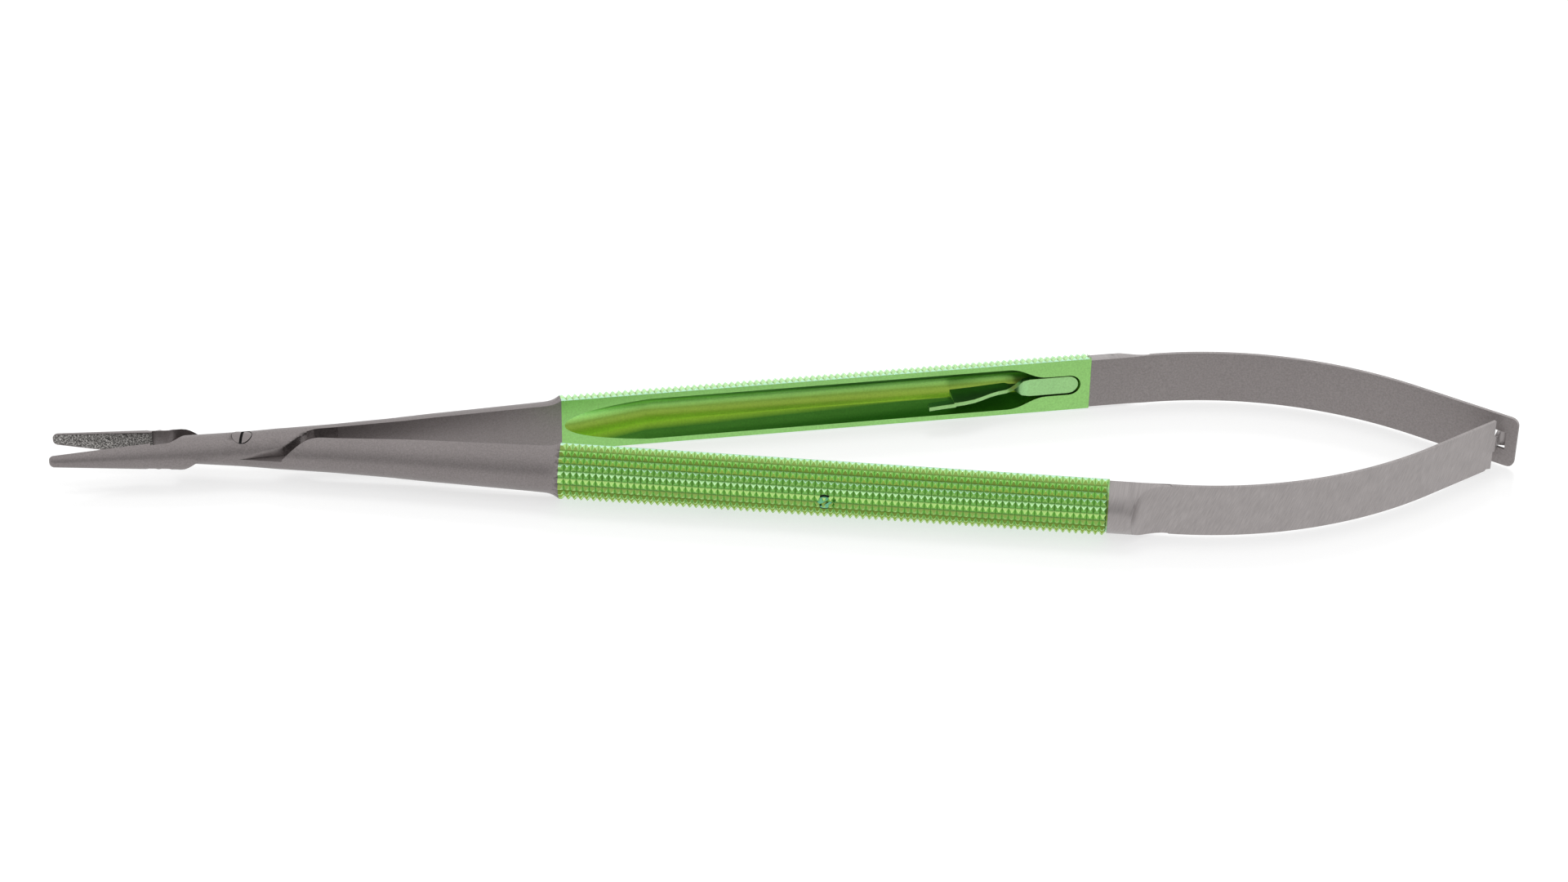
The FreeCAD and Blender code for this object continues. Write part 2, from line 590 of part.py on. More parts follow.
def build():
    """All pieces at rest, by name, about the pivot axis."""
    return {
        "far_half": far_half(),
        "near_half": near_half(),
        "pivot_screw": to_near(turned(pivot_screw(), V(1, 0, 0), 180)),
        "near_jaw_pad": to_far(jaw_pad()),
        "far_jaw_pad": to_near(jaw_pad()),
        "hook_strip": to_far(to_grip(hook_strip())),
        "keeper_strip": to_near(to_grip(keeper_strip())),
        "catch_screw": to_near(to_grip(catch_screw())),
        "far_leaf": far_leaf(),
        "near_leaf": near_leaf(),
    }


def main():
    """Stand the instrument on its teeth, centred over the origin, and write the pieces."""
    os.makedirs("parts", exist_ok=True)
    pieces = build()
    bounds = Part.Compound(list(pieces.values())).optimalBoundingBox()
    shift = V(-bounds.Center.x, -bounds.Center.y, -bounds.ZMin)
    print("pivot axis at", tuple(round(value, 4) for value in shift))
    root = leaf_root()
    print("far leaf root at", tuple(round(value, 4) for value in root + shift))
    for name, shape in pieces.items():
        solid = moved(shape.removeSplitter(), shift.x, shift.y, shift.z)
        print(name, solid.isValid(), len(solid.Solids), round(solid.Volume, 3))
        solid.exportStep("parts/" + name + ".step")


main()
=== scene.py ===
"""Looks of a spring-handled needle holder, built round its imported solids.

Sizes are in millimetres and angles in degrees; meshes are scaled to metres as they are made.
Each half has its own grip axes: x along the grip from the pivot, y out of the flat, z up.
"""

import json
import logging
import math
from dataclasses import dataclass, field
from enum import Enum, IntEnum
from functools import cached_property
from typing import Iterable, Sequence

import bmesh
import bpy
from mathutils import Matrix, Vector


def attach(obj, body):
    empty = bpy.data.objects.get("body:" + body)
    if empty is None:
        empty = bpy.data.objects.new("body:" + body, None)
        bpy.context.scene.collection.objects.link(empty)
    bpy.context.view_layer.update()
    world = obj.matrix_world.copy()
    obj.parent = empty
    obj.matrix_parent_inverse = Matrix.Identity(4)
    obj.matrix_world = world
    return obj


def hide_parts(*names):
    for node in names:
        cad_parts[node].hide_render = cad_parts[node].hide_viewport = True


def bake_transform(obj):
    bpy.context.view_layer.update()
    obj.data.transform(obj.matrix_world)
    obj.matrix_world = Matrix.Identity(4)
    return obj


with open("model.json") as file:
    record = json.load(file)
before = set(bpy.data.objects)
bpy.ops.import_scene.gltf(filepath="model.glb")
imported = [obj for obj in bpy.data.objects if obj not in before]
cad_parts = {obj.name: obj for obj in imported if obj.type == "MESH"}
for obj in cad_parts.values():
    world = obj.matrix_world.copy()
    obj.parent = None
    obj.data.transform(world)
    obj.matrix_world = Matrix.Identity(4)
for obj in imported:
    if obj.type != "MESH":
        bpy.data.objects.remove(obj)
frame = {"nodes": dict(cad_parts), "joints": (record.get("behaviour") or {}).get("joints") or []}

LOG = logging.getLogger("needle_holder")
MM = 0.001
Colour = tuple[float, float, float]
Point = tuple[float, float, float]


class Side(Enum):
    """Which half of the instrument a piece belongs to."""

    FAR = "far"
    NEAR = "near"


class BodyFinish(IntEnum):
    """Number of each finish among a half's materials."""

    BLASTED = 0
    FLAT = 1
    POCKET = 2
    MILLED = 3


@dataclass(frozen=True)
class Layout:
    """Places that all the pieces share, as the solids have them."""

    open_angle: float = 5.4
    splay: float = 1.66
    flat_crossing: float = 18.3
    grip_start: float = 40.1
    grip_length: float = 68.1
    tip_radius: float = 3.9
    tooth_depth: float = 0.4
    rim_radius: float = 3.85
    stub_length: float = 7.4
    stub_radius: float = 3.62
    catch_screw_margin: float = 34.9
    catch_slot_turn: float = 35.0

    @property
    def catch_screw_x(self) -> float:
        """Distance from the pivot to the axis of the catch screw."""
        return self.grip_end - self.catch_screw_margin

    @property
    def grip_end(self) -> float:
        """Distance from the pivot to the rear end of the grip."""
        return self.grip_start + self.grip_length

    def joint(self, name: str) -> Vector:
        """Place of a joint in the part's frame, in metres."""
        found = next(j for j in frame["joints"] if j["name"] == name)
        return Vector(found["pos_m"])

    def closed_to_rest(self, side: Side) -> Matrix:
        """Matrix from a half drawn closed about the pivot to its place at rest.

        Args:
            side: The half.

        Returns:
            A matrix from millimetres about the pivot to the part's frame in metres.
        """
        swing = self.open_angle if side is Side.FAR else -self.open_angle
        turn = Matrix.Rotation(math.radians(swing), 4, "Z")
        if side is Side.NEAR:
            turn = turn @ Matrix.Rotation(math.pi, 4, "X")
        return Matrix.Translation(self.joint("jaw_pivot")) @ turn @ Matrix.Scale(MM, 4)

    def grip(self, side: Side) -> Matrix:
        """Matrix from a half's grip axes in millimetres to the part's frame in metres."""
        offset = -self.flat_crossing * math.sin(math.radians(self.splay))
        lean = Matrix.Rotation(math.radians(self.splay), 4, "Z")
        return self.closed_to_rest(side) @ lean @ Matrix.Translation((0.0, offset, 0.0))


@dataclass
class Draft:
    """Points and faces of a mesh in the making, with a flat map for its finish."""

    points: list[Point] = field(default_factory=list)
    flat: list[tuple[float, float]] = field(default_factory=list)
    faces: list[tuple[int, ...]] = field(default_factory=list)

    def add(self, point: Sequence[float], flat: tuple[float, float] = (0.0, 0.0)) -> int:
        """Add a point and its place on the flat map, and return its number."""
        self.points.append((point[0], point[1], point[2]))
        self.flat.append(flat)
        return len(self.points) - 1

    def make(self, name: str, matrix: Matrix, crease: float = 32.0) -> bpy.types.Object:
        """Make the object.

        Args:
            name: Its name.
            matrix: From the draft's millimetres to the part's frame.
            crease: Edges sharper than this angle stay sharp.

        Returns:
            The new object, with its mesh in the part's frame.
        """
        mesh = bpy.data.meshes.new(name)
        mesh.from_pydata(self.points, [], self.faces)
        layer = mesh.uv_layers.new(name="flat")
        for loop in mesh.loops:
            layer.data[loop.index].uv = self.flat[loop.vertex_index]
        mesh.transform(matrix)
        work = bmesh.new()
        work.from_mesh(mesh)
        bmesh.ops.recalc_face_normals(work, faces=work.faces)
        work.to_mesh(mesh)
        work.free()
        return finished_object(name, mesh, crease)


def finished_object(name: str, mesh: bpy.types.Mesh, crease: float) -> bpy.types.Object:
    """Link a mesh as a smooth-shaded object whose sharper edges stay sharp."""
    mesh.shade_smooth()
    mesh.set_sharp_from_angle(angle=math.radians(crease))
    piece = bpy.data.objects.new(name, mesh)
    bpy.context.scene.collection.objects.link(piece)
    return piece


def soften(piece: bpy.types.Object, width: float, segments: int = 2) -> None:
    """Round the sharp edges of a piece by a width in millimetres."""
    bevel = piece.modifiers.new("rounded_edges", "BEVEL")
    bevel.width = width * MM
    bevel.segments = segments
    bevel.limit_method = "ANGLE"
    bevel.angle_limit = math.radians(38.0)
    bevel.use_clamp_overlap = True


class Nodes:
    """Small helper that places shader nodes in a tree and joins them."""

    def __init__(self, tree: bpy.types.NodeTree) -> None:
        """Work on one node tree."""
        self.tree = tree

    def new(self, kind: str, **values: object) -> bpy.types.Node:
        """Add a node and set its properties by name."""
        node = self.tree.nodes.new(kind)
        for key, value in values.items():
            setattr(node, key, value)
        return node

    def join(self, source: bpy.types.NodeSocket, target: bpy.types.NodeSocket) -> None:
        """Link two sockets."""
        self.tree.links.new(source, target)

    def maths(self, operation: str, *inputs: float | bpy.types.NodeSocket) -> bpy.types.NodeSocket:
        """Add a maths node.

        Args:
            operation: Its operation.
            inputs: Numbers or sockets, in order.

        Returns:
            Its result.
        """
        node = self.new("ShaderNodeMath", operation=operation)
        for index, value in enumerate(inputs):
            if isinstance(value, bpy.types.NodeSocket):
                self.join(value, node.inputs[index])
            else:
                node.inputs[index].default_value = value
        return node.outputs[0]

    def mix(self, share: float | bpy.types.NodeSocket, first: Colour | bpy.types.NodeSocket,
            second: Colour | bpy.types.NodeSocket, blend: str = "MIX") -> bpy.types.NodeSocket:
        """Mix two colours by a share and return the result."""
        node = self.new("ShaderNodeMix", data_type="RGBA", blend_type=blend)
        for socket, value in ((node.inputs[0], share), (node.inputs[6], first),
                              (node.inputs[7], second)):
            if isinstance(value, bpy.types.NodeSocket):
                self.join(value, socket)
            elif isinstance(value, tuple):
                socket.default_value = (*value, 1.0)
            else:
                socket.default_value = value
        return node.outputs[2]

    def ramp(self, source: bpy.types.NodeSocket,
             stops: Sequence[tuple[float, Colour]]) -> bpy.types.NodeSocket:
        """Map a value to a colour through stops of place and colour."""
        node = self.new("ShaderNodeValToRGB")
        while len(node.color_ramp.elements) < len(stops):
            node.color_ramp.elements.new(0.5)
        for element, (place, colour) in zip(node.color_ramp.elements, stops):
            element.position = place
            element.color = (*colour, 1.0)
        self.join(source, node.inputs[0])
        return node.outputs[0]

    def greys(self, source: bpy.types.NodeSocket,
              *stops: tuple[float, float]) -> bpy.types.NodeSocket:
        """Map a value to a grey through stops of place and brightness."""
        return self.ramp(source, [(place, (value, value, value)) for place, value in stops])


class GroupMaker:
    """Builds the shader node groups that several finishes share, each of them once."""

    def tree(self, name: str, inputs: Iterable[tuple[str, str, object]],
             outputs: Iterable[str]) -> tuple[Nodes, bpy.types.Node, bpy.types.Node]:
        """Start a group with named sockets.

        Args:
            name: The group's name.
            inputs: Name, socket type and default of each input.
            outputs: Name of each output, a plain number.

        Returns:
            A helper for its nodes, its input node and its output node.
        """
        group = bpy.data.node_groups.new(name, "ShaderNodeTree")
        for label, kind, default in inputs:
            socket = group.interface.new_socket(name=label, in_out="INPUT", socket_type=kind)
            if default is not None:
                socket.default_value = default
        for label in outputs:
            group.interface.new_socket(name=label, in_out="OUTPUT", socket_type="NodeSocketFloat")
        nodes = Nodes(group)
        return nodes, nodes.new("NodeGroupInput"), nodes.new("NodeGroupOutput")

    @cached_property
    def grain(self) -> bpy.types.NodeTree:
        """Blasted grain: a fine height and a slow drift of tone."""
        nodes, start, end = self.tree(
            "blasted_grain",
            [("Vector", "NodeSocketVector", None), ("Grain Scale", "NodeSocketFloat", 4000.0),
             ("Drift Scale", "NodeSocketFloat", 90.0)],
            ["Height", "Speckle", "Drift"])
        fine = nodes.new("ShaderNodeTexNoise")
        fine.inputs["Detail"].default_value = 3.0
        fine.inputs["Roughness"].default_value = 0.6
        pits = nodes.new("ShaderNodeTexVoronoi", feature="F1")
        drift = nodes.new("ShaderNodeTexNoise")
        drift.inputs["Detail"].default_value = 2.0
        for node, scale in ((fine, "Grain Scale"), (pits, "Grain Scale"), (drift, "Drift Scale")):
            nodes.join(start.outputs["Vector"], node.inputs["Vector"])
            nodes.join(start.outputs[scale], node.inputs["Scale"])
        height = nodes.maths("ADD", nodes.maths("MULTIPLY", fine.outputs["Fac"], 0.6),
                             nodes.maths("MULTIPLY", pits.outputs["Distance"], 0.4))
        nodes.join(height, end.inputs["Height"])
        nodes.join(fine.outputs["Fac"], end.inputs["Speckle"])
        nodes.join(drift.outputs["Fac"], end.inputs["Drift"])
        return nodes.tree

    @cached_property
    def brushing(self) -> bpy.types.NodeTree:
        """Fine scratches that lean across a sheet, with a slow change of tone."""
        nodes, start, end = self.tree(
            "brushed_scratches",
            [("Vector", "NodeSocketVector", None), ("Lean", "NodeSocketFloat", 0.4),
             ("Fineness", "NodeSocketFloat", 9.0)],
            ["Height", "Streak", "Cloud"])
        turn = nodes.new("ShaderNodeVectorRotate", rotation_type="Z_AXIS")
        nodes.join(start.outputs["Vector"], turn.inputs["Vector"])
        nodes.join(start.outputs["Lean"], turn.inputs["Angle"])
        stretch = nodes.new("ShaderNodeVectorMath", operation="MULTIPLY")
        nodes.join(turn.outputs["Vector"], stretch.inputs[0])
        stretch.inputs[1].default_value = (1.0, 0.09, 1.0)
        streak = nodes.new("ShaderNodeTexNoise")
        streak.inputs["Detail"].default_value = 4.0
        nodes.join(stretch.outputs[0], streak.inputs["Vector"])
        nodes.join(start.outputs["Fineness"], streak.inputs["Scale"])
        cloud = nodes.new("ShaderNodeTexNoise")
        cloud.inputs["Scale"].default_value = 0.35
        cloud.inputs["Detail"].default_value = 2.0
        nodes.join(start.outputs["Vector"], cloud.inputs["Vector"])
        nodes.join(streak.outputs["Fac"], end.inputs["Height"])
        nodes.join(streak.outputs["Fac"], end.inputs["Streak"])
        nodes.join(cloud.outputs["Fac"], end.inputs["Cloud"])
        return nodes.tree

    @cached_property
    def facing(self) -> bpy.types.NodeTree:
        """How far a surface faces up, from 0 to 1, and how far it faces along the part; the green
        finishes paint light and shade by these.
        """
        nodes, start, end = self.tree("facing_up", [("Normal", "NodeSocketVector", None)],
                                      ["Up", "Along"])
        parts = nodes.new("ShaderNodeSeparateXYZ")
        nodes.join(start.outputs["Normal"], parts.inputs[0])
        up = nodes.maths("MULTIPLY_ADD", parts.outputs["Z"], 0.5, 0.5)
        nodes.join(up, end.inputs["Up"])
        nodes.join(nodes.maths("ABSOLUTE", parts.outputs["X"]), end.inputs["Along"])
        return nodes.tree


GROUPS = GroupMaker()


def place_group(nodes: Nodes, group: bpy.types.NodeTree, place: bpy.types.NodeSocket,
                **values: float) -> bpy.types.Node:
    """Put a shared group into a material, fed by a place on the surface.

    Args:
        nodes: Helper for the material's tree.
        group: The group.
        place: Vector that feeds its first input.
        values: Its other inputs, with underscores for spaces.

    Returns:
        The group's node.
    """
    node = nodes.new("ShaderNodeGroup", node_tree=group)
    nodes.join(place, node.inputs[0])
    for key, value in values.items():
        node.inputs[key.replace("_", " ")].default_value = value
    return node


def lay_grain(nodes: Nodes, scale: float, drift: float) -> bpy.types.Node:
    """Put the blasted grain on a piece, with its pits and its drift at scales per metre."""
    place = nodes.new("ShaderNodeTexCoord").outputs["Object"]
    return place_group(nodes, GROUPS.grain, place, Grain_Scale=scale, Drift_Scale=drift)


def lay_relief(nodes: Nodes, shader: bpy.types.Node, height: bpy.types.NodeSocket,
               strength: float, depth: float = 0.00002) -> None:
    """Raise a shader's surface by a height, to a depth in metres."""
    bump = nodes.new("ShaderNodeBump")
    bump.inputs["Strength"].default_value = strength
    bump.inputs["Distance"].default_value = depth
    nodes.join(height, bump.inputs["Height"])
    nodes.join(bump.outputs["Normal"], shader.inputs["Normal"])


def lay_metal(nodes: Nodes, shader: bpy.types.Node, colour: bpy.types.NodeSocket,
              rough: tuple[bpy.types.NodeSocket, float, float], metal: float) -> None:
    """Give a shader its colour, its uneven roughness and its share of metal.

    Args:
        nodes: Helper for the material's tree.
        shader: The Principled shader.
        colour: Its colour.
        rough: What the roughness follows, how far, and from which value.
        metal: Share of metal, from 0 to 1.
    """
    source, span, base = rough
    nodes.join(colour, shader.inputs["Base Color"])
    nodes.join(nodes.maths("MULTIPLY_ADD", source, span, base), shader.inputs["Roughness"])
    shader.inputs["Metallic"].default_value = metal


def blank_material(name: str) -> tuple[bpy.types.Material, Nodes, bpy.types.Node]:
    """Start a material and return it with its helper and its Principled shader."""
    material = bpy.data.materials.new(name)
    material.use_nodes = True
    nodes = Nodes(material.node_tree)
    shader = material.node_tree.nodes["Principled BSDF"]
    return material, nodes, shader


@dataclass(frozen=True)
class BlastedTitanium:
    """Warm grey titanium with a fine blasted grain."""

    name: str = "blasted_titanium"
    tone: Colour = (0.285, 0.258, 0.256)
    shade: Colour = (0.245, 0.221, 0.219)
    roughness: float = 0.42
    grain_scale: float = 5200.0

    def material(self) -> bpy.types.Material:
        """Build the finish."""
        material, nodes, shader = blank_material(self.name)
        grain = lay_grain(nodes, self.grain_scale, 120.0)
        speckle = nodes.greys(grain.outputs["Speckle"], (0.32, 0.86), (0.68, 1.14))
        tone = nodes.mix(grain.outputs["Drift"], self.shade, self.tone)
        lay_metal(nodes, shader, nodes.mix(1.0, tone, speckle, "MULTIPLY"),
                  (grain.outputs["Speckle"], 0.12, self.roughness - 0.06), 0.85)
        lay_relief(nodes, shader, grain.outputs["Height"], 0.25)
        return material


@dataclass(frozen=True)
class BrushedTitanium:
    """Lighter titanium with fine leaning scratches, for the springs and their stubs."""

    name: str = "brushed_titanium"
    tone: Colour = (0.43, 0.4, 0.396)
    shade: Colour = (0.35, 0.325, 0.322)
    roughness: float = 0.38

    def material(self) -> bpy.types.Material:
        """Build the finish."""
        material, nodes, shader = blank_material(self.name)
        flat = nodes.new("ShaderNodeUVMap", uv_map="flat").outputs["UV"]
        brush = place_group(nodes, GROUPS.brushing, flat, Lean=0.35, Fineness=7.0)
        streak = nodes.greys(brush.outputs["Streak"], (0.3, 0.86), (0.7, 1.12))
        tone = nodes.mix(brush.outputs["Cloud"], self.shade, self.tone)
        lay_metal(nodes, shader, nodes.mix(1.0, tone, streak, "MULTIPLY"),
                  (brush.outputs["Streak"], 0.2, self.roughness - 0.1), 0.85)
        lay_relief(nodes, shader, brush.outputs["Height"], 0.2)
        return material


@dataclass(frozen=True)
class GreenAnodised:
    """Green anodised titanium whose colour follows the way a surface faces: the oxide film's own
    hue shift together with painted light and shade.
    """

    name: str
    stops: tuple[tuple[float, Colour], ...]
    roughness: float = 0.34

    def hue(self, nodes: Nodes) -> bpy.types.NodeSocket:
        """Colour of the film with painted light and shade, through stops from facing down at 0 to
        facing up at 1.
        """
        normal = nodes.new("ShaderNodeNewGeometry").outputs["Normal"]
        facing = place_group(nodes, GROUPS.facing, normal)
        return nodes.ramp(facing.outputs["Up"], self.stops)

    def material(self) -> bpy.types.Material:
        """Build the finish."""
        material, nodes, shader = blank_material(self.name)
        grain = lay_grain(nodes, 4200.0, 300.0)
        speckle = nodes.greys(grain.outputs["Speckle"], (0.3, 0.88), (0.7, 1.1))
        lay_metal(nodes, shader, nodes.mix(1.0, self.hue(nodes), speckle, "MULTIPLY"),
                  (grain.outputs["Drift"], 0.1, self.roughness - 0.05), 0.9)
        lay_relief(nodes, shader, grain.outputs["Height"], 0.15)
        return material


@dataclass(frozen=True)
class GreenTeeth(GreenAnodised):
    """The film on the teeth, with its own colour, partly painted light, on the facets that face
    along the grip, painted shade in the grooves and painted highlights on the tips.
    """

    # along is partly painted light on facets facing along the grip; groove is painted shade; crest
    # is a painted highlight
    along: Colour = (0.46, 0.8, 0.3)
    groove: Colour = (0.6, 0.64, 0.6)
    crest: Colour = (1.15, 1.12, 1.15)

    def hue(self, nodes: Nodes) -> bpy.types.NodeSocket:
        """Colour of the film with painted light and shade by facing, darker in the grooves as
        painted shade and lighter at the tips as a painted highlight.
        """
        normal = nodes.new("ShaderNodeNewGeometry").outputs["True Normal"]
        facing = place_group(nodes, GROUPS.facing, normal)
        hue_with_painted_facing_light = nodes.ramp(facing.outputs["Up"], self.stops)
        share = nodes.greys(facing.outputs["Along"], (0.3, 0.0), (0.6, 0.85))
        flat = nodes.new("ShaderNodeUVMap", uv_map="flat").outputs["UV"]
        parts = nodes.new("ShaderNodeSeparateXYZ")
        nodes.join(flat, parts.inputs[0])
        # painted shade in the grooves and a painted highlight on the tips, by the crest value of
        # the flat map
        depth = nodes.ramp(parts.outputs["Y"], [(0.0, self.groove), (0.25, (0.95, 0.95, 0.95)),
                                                (0.8, (1.0, 1.0, 1.0)), (1.0, self.crest)])
        return nodes.mix(1.0, nodes.mix(share, hue_with_painted_facing_light, self.along), depth, "MULTIPLY")


@dataclass(frozen=True)
class ScrewFinish:
    """Finish of a slotted screw head, painted near black as shade in its slot and in the gap round
    its rim.
    """

    name: str
    tone: Colour
    centre: Vector
    axis: Vector
    across_slot: Vector
    rim_start: float
    slot_width: float = 0.35
    # near-black colour of the painted shade in the slot and the rim gap
    gap: Colour = (0.004, 0.005, 0.005)

    def material(self) -> bpy.types.Material:
        """Build the finish."""
        material, nodes, shader = blank_material(self.name)
        place = nodes.new("ShaderNodeTexCoord").outputs["Object"]
        offset = nodes.new("ShaderNodeVectorMath", operation="SUBTRACT")
        nodes.join(place, offset.inputs[0])
        offset.inputs[1].default_value = self.centre
        away = offset.outputs[0]
        along = self.share(nodes, away, self.axis)
        length = nodes.new("ShaderNodeVectorMath", operation="LENGTH")
        nodes.join(away, length.inputs[0])
        squared = nodes.maths("SUBTRACT", nodes.maths("POWER", length.outputs["Value"], 2.0),
                              nodes.maths("POWER", nodes.maths("ABSOLUTE", along), 2.0))
        rim = nodes.maths("GREATER_THAN", squared, (self.rim_start * MM) ** 2)
        across = nodes.maths("ABSOLUTE", self.share(nodes, away, self.across_slot))
        slot = nodes.maths("LESS_THAN", across, 0.5 * self.slot_width * MM)
        grain = lay_grain(nodes, 6000.0, 300.0)
        speckle = nodes.greys(grain.outputs["Speckle"], (0.3, 0.9), (0.7, 1.1))
        tone = nodes.mix(1.0, self.tone, speckle, "MULTIPLY")
        # the slot and the ring beyond rim_start are painted near black: painted shade in those
        # recesses
        lay_metal(nodes, shader, nodes.mix(nodes.maths("MAXIMUM", rim, slot), tone, self.gap),
                  (grain.outputs["Drift"], 0.1, 0.3), 0.9)
        return material

    def share(self, nodes: Nodes, away: bpy.types.NodeSocket,
              direction: Vector) -> bpy.types.NodeSocket:
        """Part of an offset that lies along a direction."""
        product = nodes.new("ShaderNodeVectorMath", operation="DOT_PRODUCT")
        nodes.join(away, product.inputs[0])
        product.inputs[1].default_value = direction
        return product.outputs["Value"]


@dataclass(frozen=True)
class CarbideGrit:
    """Coarse grit on the jaw pads, speckled dark and light in its own mixed tone, the lightest
    speckles also standing in for glints as painted highlights.
    """

    name: str = "carbide_grit"
    light: Colour = (0.62, 0.6, 0.58)
    middle: Colour = (0.22, 0.21, 0.2)
    dark: Colour = (0.05, 0.048, 0.046)

    def material(self) -> bpy.types.Material:
        """Build the finish."""
        material, nodes, shader = blank_material(self.name)
        grain = lay_grain(nodes, 5200.0, 1500.0)
        # random grit tone; the light stop also paints the grit's glints as painted highlights
        tone = nodes.ramp(grain.outputs["Speckle"],
                          [(0.36, self.dark), (0.5, self.middle), (0.66, self.light)])
        lay_metal(nodes, shader, tone, (grain.outputs["Drift"], 0.25, 0.3), 0.8)
        lay_relief(nodes, shader, grain.outputs["Height"], 0.9, 0.00012)
        return material


@dataclass
class FinishShelf:
    """Every finish of the instrument, made once."""

    layout: Layout
    blasted: bpy.types.Material = field(init=False)
    brushed: bpy.types.Material = field(init=False)
    matt_leaf: bpy.types.Material = field(init=False)
    green_flat: bpy.types.Material = field(init=False)
    green_pocket: bpy.types.Material = field(init=False)
    green_teeth: bpy.types.Material = field(init=False)
    green_strip: bpy.types.Material = field(init=False)
    grit: bpy.types.Material = field(init=False)
    milled: bpy.types.Material = field(init=False)
    pivot_screw: bpy.types.Material = field(init=False)
    catch_screw: bpy.types.Material = field(init=False)

    def __post_init__(self) -> None:
        """Build the finishes."""
        self.blasted = BlastedTitanium().material()
        self.brushed = BrushedTitanium().material()
        self.matt_leaf = BlastedTitanium("matt_spring", (0.315, 0.287, 0.284),
                                         (0.288, 0.262, 0.26), 0.5, 4200.0).material()
        self.milled = BlastedTitanium("milled_titanium", (0.3, 0.275, 0.272),
                                      (0.26, 0.238, 0.236), 0.2, 3000.0).material()
        # Stops run from facing down to facing up. Each green finish paints light and shade into its
        # colour as well as the film's own hue. The flat's bright middle stops are painted reflected
        # light. The pocket's dark rim and its dark upward-facing lower wall are painted shade.
        self.green_flat = GreenAnodised("green_flat", (
            (0.0, (0.15, 0.4, 0.12)), (0.45, (0.31, 0.63, 0.19)), (0.55, (0.31, 0.63, 0.19)),
            (0.8, (0.2, 0.45, 0.15)), (1.0, (0.12, 0.34, 0.12)))).material()
        self.green_pocket = GreenAnodised("green_pocket", (
            (0.15, (0.12, 0.4, 0.14)), (0.27, (0.37, 0.83, 0.25)), (0.38, (0.36, 0.72, 0.18)),
            (0.5, (0.22, 0.37, 0.055)), (0.62, (0.36, 0.51, 0.07)),
            (0.74, (0.42, 0.72, 0.055)), (0.86, (0.05, 0.18, 0.02)))).material()
        self.green_teeth = GreenTeeth("green_teeth", (
            (0.0, (0.42, 0.9, 0.6)), (0.2, (0.45, 0.9, 0.55)), (0.36, (0.48, 0.86, 0.36)),
            (0.48, (0.3, 0.45, 0.08)), (0.7, (0.28, 0.43, 0.07)), (0.82, (0.38, 0.58, 0.14)),
            (0.93, (0.58, 0.92, 0.3)), (1.0, (0.6, 0.98, 0.7))), 0.28).material()
        self.green_strip = GreenAnodised("green_strip", (
            (0.0, (0.08, 0.22, 0.07)), (0.45, (0.36, 0.68, 0.29)), (0.6, (0.32, 0.56, 0.2)),
            (0.75, (0.22, 0.33, 0.07)), (0.92, (0.09, 0.24, 0.06)),
            (1.0, (0.08, 0.22, 0.06)))).material()
        self.grit = CarbideGrit().material()
        self.pivot_screw = self.screw_head(
            "pivot_screw", (0.26, 0.235, 0.233), self.layout.closed_to_rest(Side.NEAR),
            Vector((0.0, 0.0, 0.0)), Vector((0.0, 0.0, 1.0)), Vector((1.0, 0.0, 0.0)), 1.23)
        turn = math.radians(self.layout.catch_slot_turn)
        self.catch_screw = self.screw_head(
            "catch_screw", (0.16, 0.5, 0.28), self.layout.grip(Side.NEAR),
            Vector((self.layout.catch_screw_x, 0.0, 0.0)), Vector((0.0, 1.0, 0.0)),
            Vector((math.sin(turn), 0.0, math.cos(turn))), 0.88)

    def screw_head(self, name: str, tone: Colour, axes: Matrix, centre: Vector, axis: Vector,
                   across_slot: Vector, rim_start: float) -> bpy.types.Material:
        """Finish of a screw whose centre and directions are given in a half's axes."""
        turn = axes.to_quaternion()
        return ScrewFinish(name, tone, axes @ centre, turn @ axis, turn @ across_slot,
                           rim_start).material()


